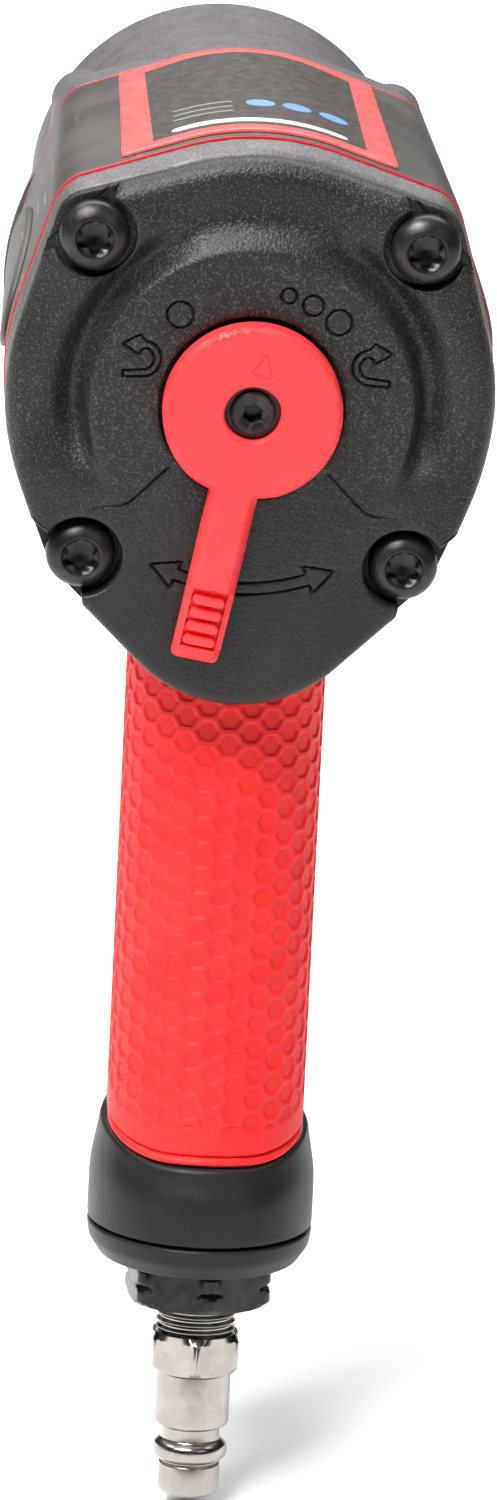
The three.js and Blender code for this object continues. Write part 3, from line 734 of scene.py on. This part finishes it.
def barrel_half(axis):
    """The barrel's outline on the positive side of an axis, as the other axis in order and then this one."""
    loop = belt(BARREL, 0, 2880)
    half = loop[loop[:, axis] > 10]
    return half[np.argsort(half[:, 1 - axis])][:, [1 - axis, axis]].T


def on_barrel(x, y, lift):
    """Points on top of the barrel at (x, y), lifted off it; x is before the narrowing."""
    return tool(columns(x * narrowing(y), y, np.interp(x, *barrel_half(1)) + lift))


def nameplate():
    """A curved plate on top of the jacket."""
    half, y0, y1, corner = 21.5, 19.3, 74, 0.8
    corners = ((1, 1, 0), (1, -1, 90), (-1, -1, 180), (-1, 1, 270))
    middle, reach = (y0 + y1) / 2, (y1 - y0) / 2

    def outline(inset):
        c = corner - inset / 2
        x, y = half - inset - c, reach - inset - c
        parts = [arc(c, first, first + 90, 0.3, (side * x, middle + end * y)) for side, end, first in corners]
        return walk(np.concatenate(parts), 0.5, True)

    rows = [outline(inset) for inset in (0, 0, 0.06, 0.25)]
    count = min(len(r) for r in rows)
    rows = [r[np.linspace(0, len(r) - 1, count).astype(int)] for r in rows]
    rings = [on_barrel(*r.T, lift) for r, lift in zip(rows, (0.12, 0.45, 0.55, 0.6))]
    ahead = [(i, (i + 1) % count) for i in range(count)]
    faces = [[a + i, a + j, a + count + j, a + count + i] for a in (0, count, 2 * count) for i, j in ahead]
    shell = Shell().add(np.concatenate(rings), faces)
    for row, lift in ((rows[3], 0.6), (rows[0], 0.12)):
        fill = spread(row, 1.2)
        fill = fill[(nearest(fill, row) > 0.7) & (np.abs(fill[:, 0]) < half - 0.6)]
        fill = fill[np.abs(fill[:, 1] - middle) < reach - 0.6]
        points = [Vector(q) for q in np.concatenate([row, fill])]
        flat, _, triangles, *_ = geometry.delaunay_2d_cdt(points, ahead, [], 1, 1e-6, False)
        shell.add(on_barrel(*np.array([v[:] for v in flat]).T, lift), triangles)
    return shell.piece("name_plate", "nameplate", "label_sheet")


def side_badge(side, name, node):
    """A blank oval badge standing proud of the jacket's side."""
    rings = []
    edge = ((1, 0.1), (1, 0.45), (0.985, 0.75), (0.95, 0.9), (0.9, 0.95), (0.6, 0.95), (0.2, 0.95))
    for share, lift in edge:
        y, z = (circle(share, 144) * [21.9, 9.9] + [46, 8]).T
        x = np.interp(z, *barrel_half(0)) * narrowing(y) + lift
        rings.append(tool(columns(side * x, y, z)))
    return Shell().loft(rings).piece(name, node, "jacket_plastic")


# ---- Hammer case, anvil and nose
def hammer_case():
    count = 480
    angles = around(count)
    plate = far_radius(narrowed(belt(BARREL, -0.3, 720), 80), angles)

    def bosses(radius):
        loops = [circle(radius if z > 0 else radius - 1, 200, (x, z)) for x, z in BOLTS]
        return np.max([far_radius(loop, angles) for loop in loops], 0)

    def soft_max(a, b, k):
        h = np.clip(0.5 + 0.5 * (a - b) / k, 0, 1)
        return b + (a - b) * h + k * h * (1 - h)

    stations = [76.4, 76.45, 76.7, 77.1, *np.arange(78, 100, 0.5), *np.arange(100, 141, 2.5), 141, 142, 142.6,
                143.2, 143.8, 144.3, *np.arange(145, 156, 0.8), 156, 156.4, 157, 158, 158.6, 158.9, 159]
    rings = []
    for y in stations:
        barrel = np.interp(y, [76, 85, 92, 142.2, 143.2, 144.2, 145, 156, 158.2, 159],
                           [37.8, 36.8, 32.45, 32.45, 32.1, 31.3, 30.2, 18.2, 16.7, 16])
        radius = np.full(count, barrel)
        if y < 86:
            flange = plate - np.interp(y, [76.4, 76.9, 83, 84.2, 85.2], [0.6, 0, 0, 1.2, 14])
            radius = soft_max(radius, flange, 0.8)
        if y < 99:
            radius = soft_max(radius, bosses(np.interp(y, [76, 94, 96, 98.5], [5.4, 5.4, 4.4, 2.2])), 1)
        rings.append(ring_at(polar(radius, angles), y))
    inside = [(12.4, 159), (12.3, 158.8), (12.3, 140.2), (29.3, 139), (29.3, 76.6), (29.6, 76.4)]
    rings += turned(inside, count)
    return Shell().loft(rings, closed=True).piece("hammer_casting", "hammer_case", "grey_casting")


def drive_anvil():
    """The anvil: jaws inside, a round shaft, and the square drive with its groove."""
    count = 192
    angles = around(count)
    square = 6.35 / np.maximum(np.abs(np.cos(angles)), np.abs(np.sin(angles)))
    shaft = [(4, 84.6), (5, 84.6), (5, 90.6), (8.5, 90.6), (8.5, 131.9), (9, 131.9), (9, 159.4), (8.4, 160)]
    drive = [(8.4, 160.2), (8.4, 178.4), (5.2, 178.45), (5.2, 181.55), (8.4, 181.6), (8.4, 183.6), (8, 184.4),
             (6.9, 185.7), (6.4, 186)]
    rings = turned(bevelled(shaft, 0.25), count)
    shell = Shell().loft(rings + [ring_at(polar(np.minimum(square, limit), angles), y) for limit, y in drive])
    for z0, z1, y0, y1 in ((5, 11.5, 91.4, 110.4), (-11.5, -5, 111.7, 130.7)):
        shell.loft([tool([(-4.5, y, z0), (4.5, y, z0), (4.5, y, z1), (-4.5, y, z1)]) for y in (y0, y1)])
    return shell.piece("drive_anvil", "anvil", "black_oxide_steel", 30, body="drive")


def tube(name, node, slot, inner, outer, y0, y1):
    profile = [(inner, y0 + 0.5), (inner, y0), (outer, y0), (outer, y1), (inner, y1), (inner, y1 - 0.5)]
    return Shell().loft(turned(bevelled(profile, 0.2), 128), closed=True).piece(name, node, slot, 30)


def retainer_ring():
    turn = np.radians(np.linspace(10, 350, 90))
    rings = [wire(np.array([sin(a), 0, cos(a)]), 6.1, [0, 180, 0], [0, 1, 0], 0.75, 16) for a in turn]
    shell = Shell().loft([tool(ring) for ring in rings])
    return shell.piece("socket_retainer", "retainer_ring", "hard_steel", body="drive")


# ---- Grip
GRIP_RADIUS = 15.9
FLAT = 7.2
HALF_ROUND = pi * GRIP_RADIUS
TOTAL = HALF_ROUND * 2 + FLAT * 2
GRIP_END = -131.2
GRIP_TOP = -44
CELL = 4.1
CELL_SHIFT = 0.76
RECESS = 0.3


def grip_place(s, w, out):
    """A point on the grip: s runs round it from the middle of its rear, out stands off its surface."""
    quarter = HALF_ROUND / 2
    t = np.abs(s)
    rear = t <= quarter
    front = t >= quarter + FLAT
    angle = np.where(rear, t / GRIP_RADIUS, np.where(front, (t - FLAT) / GRIP_RADIUS, pi / 2))
    middle = np.where(rear, -FLAT / 2, np.where(front, FLAT / 2, t - quarter - FLAT / 2))
    reach = GRIP_RADIUS + out
    return handle(columns(np.sign(s) * np.sin(angle) * reach, middle - np.cos(angle) * reach, w))


def grip_end(s):
    """The height of the grip's lower end, which rises from the rear to the front."""
    t = np.abs(s) / (TOTAL / 2)
    return GRIP_END + 4.6 * ease(t, 0.12, 0.55) + 8.5 * ease(t, 0.5, 1)


def hex_gap(s, w):
    """Distance from each point to the nearest border of a honeycomb with flat-topped cells."""
    column = CELL * sqrt(3) / 2
    best = np.full(len(s), 99.0)
    second = np.full(len(s), 99.0)
    for di in (-1, 0, 1):
        i = np.round(s / column) + di
        lift = np.mod(i, 2) * CELL / 2
        for dj in (-1, 0, 1):
            j = np.round((w - lift) / CELL) + dj
            d = np.hypot(s - i * column, w - j * CELL - lift)
            second = np.where(d < best, best, np.minimum(second, d))
            best = np.minimum(best, d)
    return (second - best) / 2


def grip_relief(s, w):
    """How far the grip's surface stands off, with its cells, its rolled end and the seam behind."""
    above = w - grip_end(s)
    t = np.abs(s) / (TOTAL / 2)
    level = -RECESS * ease(hex_gap(s, w + CELL_SHIFT), 0.38, 0.56) * ease(above, 5.5, 7)
    lip = ease(above, 0, 0.5) * (1 - ease(above, 1.2, 1.6))
    level = level + 0.35 * lip * (1 - ease(t, 0.1, 0.4)) - 0.9 * (1 - ease(above, -0.1, 0.7))
    level = level - 0.7 * np.exp(-((above - 1.75) / 0.3) ** 2) * (1 - ease(t, 0.25, 0.5))
    return level - 0.08 * np.exp(-((s / 0.14) ** 2))


def grip_sleeve():
    """The rubber sleeve: its rings follow the lower end, and above an even rise they level out."""
    even, last = 60, 100
    across = np.linspace(-TOTAL / 2, TOTAL / 2, 421)[:-1]
    end = grip_end(across)
    rings = []
    rolled = (0, 0.1, 0.25, 0.45, 0.7, 1, 1.4, 1.8, 2.1, 2.35, 2.6, 2.85, 3.2, 3.7)
    for rise in (*rolled, *np.linspace(4.2, last, 330)):
        w = mix(end + min(rise, even), GRIP_TOP, max(rise - even, 0) / (last - even))
        rings.append(grip_place(across, w, grip_relief(across, w)))
    rings += [grip_place(across, w, out) for w, out in ((GRIP_TOP, -2.3), (end + 0.6, -2.3), (end, -1.6))]
    piece = Shell().loft(rings, closed=True).build("grip_sleeve")
    combine(piece, solid(box_rings(7.8, 8, 40, -76.8, -38)), "DIFFERENCE")
    return finish_piece(piece, "grip", "grip_rubber", 50)


# ---- Trigger and its spring
def trigger():
    """A pull trigger with a hollowed front and rounded sides."""
    side = [(12, -75), (24, -75), (28.2, -73.6), (29.6, -69.5), (28.7, -64), (28.4, -60), (28.9, -55),
            (30.6, -49.6), (30.4, -46.8), (28.8, -46), (12, -46)]
    path = walk(side, 0.5, True)
    for _ in range(3):
        path = (np.roll(path, 1, 0) + path * 2 + np.roll(path, -1, 0)) / 4
    away = path - path.mean(0)
    away = away / np.linalg.norm(away, axis=1)[:, None]
    half = [(7, 1.6), (6.85, 0.9), (6.5, 0.45), (5.9, 0.12), (5, 0)]
    stations = [(-x, inset) for x, inset in half] + half[::-1]
    rings = [handle(columns(x, *(path - away * inset).T)) for x, inset in stations]
    return Shell().loft(rings).piece("trigger_shell", "trigger", "trigger_plastic", 45, body="trigger")


SPRING_FOOT = -117.8


def throttle_spring():
    """The spring under the throttle valve, built at rest as a coil of round wire."""
    radius, thickness, turns, low, high = 4.4, 0.5, 5, SPRING_FOOT + 0.5, -94.8
    rings = []
    for t in np.linspace(0, 1, 161):
        a = 2 * pi * turns * t
        outward = np.array([cos(a), sin(a), 0])
        rings.append(handle(wire(outward, radius, [0, INLET, mix(low, high, t)], [0, 0, 1], thickness, 12)))
    piece = Shell().loft(rings).piece("valve_spring", "throttle_spring", "hard_steel", 60)
    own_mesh(piece)
    return piece


# ---- Base, inlet and plug
def base_shell(profile):
    """An oval collar round the handle: profile is (half width, w, share of the rise of the grip's end)."""
    a = around(240)
    lift = grip_end(np.where(a < pi, a, a - 2 * pi) / pi * TOTAL / 2) - GRIP_END
    oval = columns(np.sin(a), -22.2 / 18.4 * np.cos(a))
    return Shell().loft([handle_ring(oval * half, w + rise * lift) for half, w, rise in profile], closed=True)


def base_collar():
    profile = [(15.6, -131.2, 1), (16.6, -131.3, 1), (16.95, -131.6, 1), (17.1, -132.1, 1),
               (17.25, -133, 0.95), (17.6, -134.2, 0.8), (18, -135.4, 0.6), (18.3, -136.6, 0.4),
               (18.4, -138, 0.2), (18.4, -140, 0.05), (18.4, -143.2, 0), (18.35, -143.6, 0),
               (18.1, -143.8, 0), (14, -143.8, 0), (14, -136, 0), (15, -132, 1)]
    return base_shell(profile).piece("collar_shell", "base_collar", "base_plastic")


def exhaust_deflector():
    profile = [(12.5, -144.9), (12.5, -144.3), (18.1, -144.3), (18.4, -144.6), (18.1, -147), (17, -148.6),
               (16.4, -149.6), (12.5, -149.6), (12.5, -149)]
    shell = base_shell([(half, w, 0) for half, w in bevelled(profile, 0.7, 4)])
    neck = bevelled([(11.5, -149.4), (13.5, -149.4), (13.5, -144.6), (11.5, -144.6)], 0.2)
    shell.loft(upright(neck, 96), closed=True)
    return shell.piece("deflector_shell", "exhaust_deflector", "base_plastic")


def hex_rings(flats, turn, stations, count, notch=0, notch_at=0):
    """Rings of a hexagon nut with turned ends: stations are (limit radius, w)."""
    a = around(count)
    corner = np.mod(a - turn + pi / 6, pi / 3) - pi / 6
    across = flats / 2 / np.cos(np.abs(corner) - pi / 6)
    rings = []
    for limit, w in stations:
        depth = notch * np.clip(1 - abs(w - notch_at) / 0.8, 0, 1)
        reach = min(limit, flats / sqrt(3) - depth)
        rings.append(handle_ring(polar(np.minimum(across, reach), a, (0, INLET)), w))
    return rings


def inlet_bushing():
    """A hexagon bushing with a notch round its corners."""
    low, high = -156.6, -149.9
    middle = (low + high) / 2
    corner = 22 / sqrt(3) - 0.25
    stations = [(11.2, low), (11.5, low + 0.15), (corner - 0.25, low + 0.7), (corner, low + 1)]
    stations += [(corner, middle + d) for d in (-1, -0.8, -0.4, 0, 0.4, 0.8, 1)]
    stations += [(corner, high - 0.9), (11.6, high - 0.2), (11.2, high)]
    shell = Shell().loft(hex_rings(22, radians(-90 + 7.7), stations, 288, 1.15, middle))
    barrel = [(10, -150), (10.6, -149.8), (10.6, -143.6), (8, -143.6), (8, -118.6), (7.6, -118)]
    shell.loft(upright(bevelled(barrel), 64))
    return shell.piece("inlet_adapter", "inlet_bushing", "black_oxide_steel", 30)


def air_plug():
    """The nickel-plated quick plug: its thread, hexagon, body, neck, locking collar and tip."""
    thread = []
    pitch = 1.25
    for w in np.arange(-156.2, -161.6, -pitch):
        thread += [(6.55, w), (6.05, w - pitch * 0.42), (6.05, w - pitch * 0.55), (6.55, w - pitch * 0.93)]
    shell = Shell().loft(upright([(5.8, -150.5), (6.4, -151), *thread, (6, -161.9), (5.8, -162.2)], 96))
    low, high = -168.4, -161.8
    corner = 14 / sqrt(3)
    ends = [(6.9, 0), (7.05, 0.1), (corner - 0.3, 0.95), (corner - 0.12, 1.2)]
    stations = [(limit, low + d) for limit, d in ends] + [(limit, high - d) for limit, d in ends[::-1]]
    shell.loft(hex_rings(14, radians(-90), stations, 240))
    body = [(5.9, -168.2), (6.15, -168.6), (6.15, -176.9), (5.9, -177.5), (4.85, -177.9), (4.75, -178.2),
            (4.75, -180.1), (5.3, -180.3), (5.95, -180.8), (6.1, -181.4), (6.1, -182.3), (5.9, -182.9),
            (5.3, -183.4), (4.7, -183.6), (4.65, -184), (5.06, -184.2), (5.06, -188.3), (4.8, -188.9),
            (4.3, -189.3), (2.9, -189.4), (2.7, -189.2), (2.7, -172)]
    shell.loft(upright(bevelled(body, 0.22), 128))
    return shell.piece("quick_plug", "air_plug", "plug_steel", 30)


# ---- Materials
class Paint:
    """A node material: helpers that add procedural nodes to one Principled shader."""

    def __init__(self, slot, metal=0.0, **fixed):
        self.material = bpy.data.materials.new(slot + "_look")
        self.material.use_nodes = True
        self.tree = self.material.node_tree
        self.shader = self.tree.nodes["Principled BSDF"]
        self.shader.inputs["Metallic"].default_value = metal
        for name, value in fixed.items():
            self.shader.inputs[name.replace("_", " ")].default_value = value
        self.place = self.node("ShaderNodeTexCoord").outputs["Object"]
        self.normal = None

    def feed(self, socket, value):
        if isinstance(value, bpy.types.NodeSocket):
            self.tree.links.new(value, socket)
        else:
            socket.default_value = value

    def node(self, kind, inputs=None, **settings):
        n = self.tree.nodes.new(kind)
        for key, value in settings.items():
            setattr(n, key, value)
        for key, value in (inputs or {}).items():
            self.feed(n.inputs[key], value)
        return n

    def stretched(self, scale):
        return self.node("ShaderNodeMapping", {"Vector": self.place, "Scale": scale}).outputs["Vector"]

    def noise(self, grain_mm, detail=4.0, rough=0.55, vector=None):
        """Noise whose lumps are about grain_mm across, as a value from 0 to 1."""
        inputs = {"Vector": vector or self.place, "Scale": 1 / (grain_mm * MM), "Detail": detail}
        return self.node("ShaderNodeTexNoise", {**inputs, "Roughness": rough}).outputs["Fac"]

    def span(self, value, low, high, to_low=0.0, to_high=1.0):
        inputs = {"Value": value, "From Min": low, "From Max": high, "To Min": to_low, "To Max": to_high}
        return self.node("ShaderNodeMapRange", inputs, interpolation_type="SMOOTHSTEP").outputs["Result"]

    def maths(self, operation, a, b=0.0):
        return self.node("ShaderNodeMath", {0: a, 1: b}, operation=operation).outputs[0]

    def times(self, a, b):
        return self.maths("MULTIPLY", a, b)

    def blend(self, factor, a, b):
        """A colour between a and b."""
        a, b = (c if isinstance(c, bpy.types.NodeSocket) else (*c, 1) for c in (a, b))
        return self.node("ShaderNodeMix", {0: factor, 6: a, 7: b}, data_type="RGBA").outputs[2]

    def colour(self, value):
        self.feed(self.shader.inputs["Base Color"], value)

    def rough(self, value, low, high):
        self.feed(self.shader.inputs["Roughness"], self.span(value, 0.3, 0.7, low, high))

    def bump(self, value, height_mm):
        """Relief; height_mm is how tall a value of 1 stands."""
        inputs = {"Height": value, "Strength": 1, "Distance": height_mm * MM}
        self.feed(self.shader.inputs["Normal"], self.node("ShaderNodeBump", inputs).outputs["Normal"])


def rgb(red, green, blue):
    """A colour from its screen values, 0 to 255, as linear light."""
    c = np.array([red, green, blue]) / 255
    return tuple(np.where(c <= 0.04045, c / 12.92, ((c + 0.055) / 1.055) ** 2.4).tolist())


def moulded_black(slot, dark, light, roughness, grain, depth, gloss, painted_glint=0.0, scuff=0.0):
    """Black plastic with a moulded grain: the glint share paints pale grains into its colour as painted
    glints, stronger towards the top, and scuff wears pale scratches into it.
    """
    p = Paint(slot, Specular_IOR_Level=gloss)
    fine, broad = p.noise(grain, 3), p.noise(14, 3)
    tone = p.blend(p.span(broad, 0.3, 0.7), rgb(*dark), rgb(*light))
    # Painted glints: pale grains painted into the colour as sparkle, fading towards the bottom of the part.
    if painted_glint:
        glint_grains = p.span(p.noise(grain * 0.8, 2, vector=p.stretched((1.07, 0.93, 1.02))), 0.52, 0.68)
        height = p.node("ShaderNodeSeparateXYZ", {0: p.place}).outputs[2]
        shown = p.times(p.span(height, -0.034, 0, 0.12, 1), painted_glint)
        tone = p.blend(p.times(glint_grains, shown), tone, rgb(128, 126, 125))
    if scuff:
        across = p.noise(2.2, 3, 0.7, p.stretched((0.25, 0.07, 1.6)))
        patch = p.span(p.noise(17, 2), 0.5, 0.62)
        worn = p.times(p.span(across, 0.6, 0.66), p.times(patch, scuff))
        tone = p.blend(worn, tone, rgb(150, 147, 145))
    p.colour(tone)
    p.rough(p.maths("ADD", p.times(broad, 0.5), p.times(fine, 0.5)), *roughness)
    p.bump(fine, depth)
    return p.material


def plain_finish(slot, kind, dark, light, roughness, grain, depth, metal=0.0):
    """Two tones in patches, uneven roughness and a fine grain; kind gives the noises' settings."""
    patches, low, wear, detail, gloss = kind
    p = Paint(slot, metal, Specular_IOR_Level=gloss)
    p.colour(p.blend(p.span(p.noise(*patches), low, 1 - low), rgb(*dark), rgb(*light)))
    p.rough(p.noise(*wear), *roughness)
    p.bump(p.noise(grain, *detail), depth)
    return p.material


# Kind: the patches' noise, where their blend starts, the wear's noise, the grain's detail, and the gloss.
RED = ((9, 4), 0.35, (0.8, 5), (4,), 0.3)
CAST = ((0.45, 5, 0.6), 0.35, (5, 4), (5, 0.6), 0.5)
METAL = ((3, 5), 0.35, (1.2, 5), (4,), 0.5)
SOFT = ((1.1, 5), 0.3, (2.3, 4), (4,), 0.5)

# Slot: two tones, the roughness's range, the grain in millimetres, its depth, gloss, painted glints and
# scuff.
BLACKS = {
    "cover_plastic": ((26, 25, 24), (34, 33, 32), (0.32, 0.44), 0.46, 0.17, 0.3, 0.24),
    "base_plastic": ((27, 26, 25), (34, 33, 31), (0.36, 0.48), 0.25, 0.012, 0.2),
    "jacket_plastic": ((66, 64, 62), (79, 76, 74), (0.42, 0.54), 0.3, 0.015, 0.25, 0, 0.6),
}

# Slot: kind, two tones, the roughness's range, the grain in millimetres, its depth, and how metallic it is.
FINISHES = {
    "selector_plastic": (RED, (246, 60, 62), (240, 54, 57), (0.4, 0.52), 0.4, 0.006),
    "trim_plastic": (RED, (205, 44, 52), (185, 36, 44), (0.3, 0.42), 0.4, 0.01),
    "trigger_plastic": (RED, (240, 60, 60), (225, 48, 50), (0.35, 0.5), 0.4, 0.01),
    "grip_rubber": (RED, (234, 42, 39), (226, 34, 32), (0.5, 0.62), 0.3, 0.012),
    "grey_casting": (CAST, (76, 73, 74), (102, 98, 99), (0.42, 0.6), 0.45, 0.06, 0.15),
    "black_oxide_steel": (METAL, (38, 36, 35), (52, 50, 48), (0.3, 0.4), 0.5, 0.012, 0.65),
    "plug_steel": (METAL, (158, 153, 148), (168, 163, 158), (0.2, 0.27), 1.5, 0.004, 1),
    "hard_steel": (METAL, (140, 141, 144), (165, 166, 168), (0.25, 0.4), 0.3, 0.01, 1),
    "bronze": (METAL, (160, 120, 60), (178, 138, 76), (0.3, 0.45), 0.3, 0.02, 1),
    "seal_rubber": (SOFT, (24, 24, 25), (36, 36, 37), (0.55, 0.75), 0.4, 0.02),
    "gasket_fibre": (SOFT, (120, 104, 78), (150, 132, 100), (0.75, 0.9), 0.25, 0.05),
    "vane_fibre": (SOFT, (96, 70, 44), (124, 94, 60), (0.5, 0.7), 0.25, 0.03),
    "felt": (SOFT, (150, 148, 140), (182, 180, 172), (0.85, 0.98), 0.2, 0.12),
}


def label_sheet():
    """A blank printed plate: a red border round a dark field with a pale band, rules and three blue discs."""
    p = Paint("label_sheet", Coat_Weight=0.35, Coat_Roughness=0.2)
    xyz = p.node("ShaderNodeSeparateXYZ", {0: p.place}).outputs
    x = p.maths("DIVIDE", xyz[0], MM)
    y = p.maths("SUBTRACT", p.maths("DIVIDE", xyz[1], MM), REAR)

    def bar(cx, cy, half, deep):
        parts = [p.maths("LESS_THAN", p.maths("ABSOLUTE", p.maths("SUBTRACT", value, middle)), reach)
                 for value, middle, reach in ((x, cx, half), (y, cy, deep))]
        return p.times(*parts)

    def disc(cx, cy, half, deep):
        parts = [p.maths("DIVIDE", p.maths("SUBTRACT", value, middle), reach)
                 for value, middle, reach in ((x, cx, half), (y, cy, deep))]
        return p.maths("LESS_THAN", p.maths("ADD", *[p.times(part, part) for part in parts]), 1)

    field_end = p.maths("SUBTRACT", 71.2, p.times(p.times(x, x), 0.0075))
    inside = p.times(bar(0, 47.3, 16.6, 25), p.maths("LESS_THAN", y, field_end))
    field = p.blend(p.span(p.noise(0.7, 4), 0.3, 0.7), rgb(70, 66, 64), rgb(82, 78, 76))
    border = p.blend(p.span(p.noise(6, 4), 0.3, 0.7), rgb(236, 90, 88), rgb(242, 100, 98))
    tone = p.blend(inside, border, field)
    pale, blue, grey = rgb(206, 203, 198), rgb(112, 152, 214), rgb(150, 146, 143)
    shapes = [(bar(0, 25.4, 12.5, 1.2), pale)]
    shapes += [(disc(cx, 25.4, 1.2, 1.2), pale) for cx in (-12.5, 12.5)]
    shapes += [(disc(cx, 36.5, 2.3, 2.1), blue) for cx in (0.5, 6.3, 12.1)]
    shapes += [(bar(-8.6, cy, 4.6, 0.28), grey) for cy in (31.5, 34.5, 37.5)]
    for shape, ink in shapes:
        tone = p.blend(shape, tone, ink)
    p.colour(tone)
    p.rough(p.noise(2, 4), 0.3, 0.42)
    p.bump(p.noise(0.6, 4), 0.008)
    return p.material


MATERIALS = {slot: moulded_black(slot, *look) for slot, look in BLACKS.items()}
MATERIALS |= {slot: plain_finish(slot, *look) for slot, look in FINISHES.items()}
MATERIALS["label_sheet"] = label_sheet()

# ---- The object
rear_cover()
selector_knob()
selector_screw()
for number, place in enumerate(BOLTS, 1):
    rear_bolt(number, place)
motor_housing()
housing_jacket()
trim("rear_pinstripe", "rear_trim", 16.9)
trim("front_pinstripe", "front_trim", 75.2)
nameplate()
side_badge(-1, "left_badge", "badge_left")
side_badge(1, "right_badge", "badge_right")
hammer_case()
drive_anvil()
tube("nose_bushing", "anvil_bushing", "bronze", 9.1, 12, 140.6, 156.6)
tube("nose_lip_seal", "nose_seal", "seal_rubber", 9.1, 12, 156.8, 158.8)
retainer_ring()
grip_sleeve()
trigger()
throttle_spring()
base_collar()
exhaust_deflector()
inlet_bushing()
air_plug()

# Inner pieces keep their CAD shape and get a real surface and softened edges.
slots = {part["node"]: part["material_slot"] for part in frame["record"]["subparts"]}
for name, node in frame["nodes"].items():
    if not node.hide_render:
        node.data.materials.clear()
        node.data.materials.append(MATERIALS[slots[name]])
        bevel = node.modifiers.new("edges", "BEVEL")
        bevel.width = 0.15 * MM
        bevel.segments = 2
        bevel.limit_method = "ANGLE"
        bevel.angle_limit = radians(40)

# ---- Camera, light and floor
YAW, PITCH, ROLL = (radians(a) for a in (3.747, 19.569, 3.459))
TARGET = np.array([6.278, 60, -75.724])
DISTANCE = 1000
LENS = 143.75
MIDDLE = (0, -0.13, -0.05)

# Name: place, what it looks at, size in metres, and watts.
LIGHTS = {
    "key": ((-0.52, -0.72, 1.35), MIDDLE, (0.85, 0.85), 53),
    "fill": ((0.9, -1.2, 0.9), MIDDLE, (0.8, 0.8), 2.5),
    "left_strip": ((-1.1, -0.1, 0.1), (0, -0.15, -0.12), (0.25, 1.2), 0.2),
    "top": ((-0.1, 0.35, 1.3), (0, 0.1, 0), (1.6, 1.2), 5),
    "floor_wash": ((0, 1.3, 1.6), (0, 1.2, -0.2), (2.6, 1.8), 60),
}


def camera():
    forward = np.array([sin(YAW) * cos(PITCH), cos(YAW) * cos(PITCH), -sin(PITCH)])
    right = np.array([cos(YAW), -sin(YAW), 0])
    up = np.cross(right, forward)
    axes = [cos(ROLL) * right + sin(ROLL) * up, cos(ROLL) * up - sin(ROLL) * right, -forward]
    data = bpy.data.cameras.new("camera")
    data.lens = LENS
    data.sensor_width = 36
    data.clip_start = 0.05
    data.clip_end = 20
    item = link("camera", data)
    place = tool(TARGET - forward * DISTANCE)[0]
    item.matrix_world = Matrix.Translation(place) @ Matrix(axes).transposed().to_4x4()
    bpy.context.scene.camera = item


def area_light(name, place, target, size, power):
    data = bpy.data.lights.new(name, "AREA")
    data.shape = "RECTANGLE"
    data.size, data.size_y = size
    data.energy = power
    item = link(name, data)
    item.location = place
    item.rotation_euler = (Vector(target) - Vector(place)).to_track_quat("-Z", "Y").to_euler()


def sky():
    """A soft grey world, brighter overhead."""
    world = bpy.data.worlds.new("studio")
    world.use_nodes = True
    nodes, links = world.node_tree.nodes, world.node_tree.links
    split = nodes.new("ShaderNodeSeparateXYZ")
    links.new(nodes.new("ShaderNodeTexCoord").outputs["Generated"], split.inputs[0])
    ramp = nodes.new("ShaderNodeMapRange")
    for name, value in (("From Min", -0.25), ("From Max", 0.9), ("To Min", 0.05), ("To Max", 0.45)):
        ramp.inputs[name].default_value = value
    links.new(split.outputs["Z"], ramp.inputs["Value"])
    links.new(ramp.outputs["Result"], nodes["Background"].inputs["Strength"])
    bpy.context.scene.world = world


def studio_floor(half=4, gap=0.002):
    """A pale floor just under the part."""
    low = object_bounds()[0][2] - gap
    mesh = bpy.data.meshes.new("floor")
    corners = [(x * half, y * half, low) for x, y in ((-1, -1), (1, -1), (1, 1), (-1, 1))]
    mesh.from_pydata(corners, [], [(0, 1, 2, 3)])
    floor = link("floor", mesh)
    paint = Paint("floor", Roughness=0.9)
    paint.colour(paint.blend(paint.span(paint.noise(60, 3), 0.3, 0.7), (0.9, 0.9, 0.9), (0.93, 0.93, 0.93)))
    mesh.materials.append(paint.material)
    floor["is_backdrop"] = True


camera()
sky()
for name, look in LIGHTS.items():
    area_light(name, *look)
studio_floor()
bpy.context.scene.view_settings.view_transform = "Standard"

plain = lambda box: [[float(x) for x in corner] for corner in box]
{"cad": plain(CAD_BOX), "visual": plain(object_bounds())}
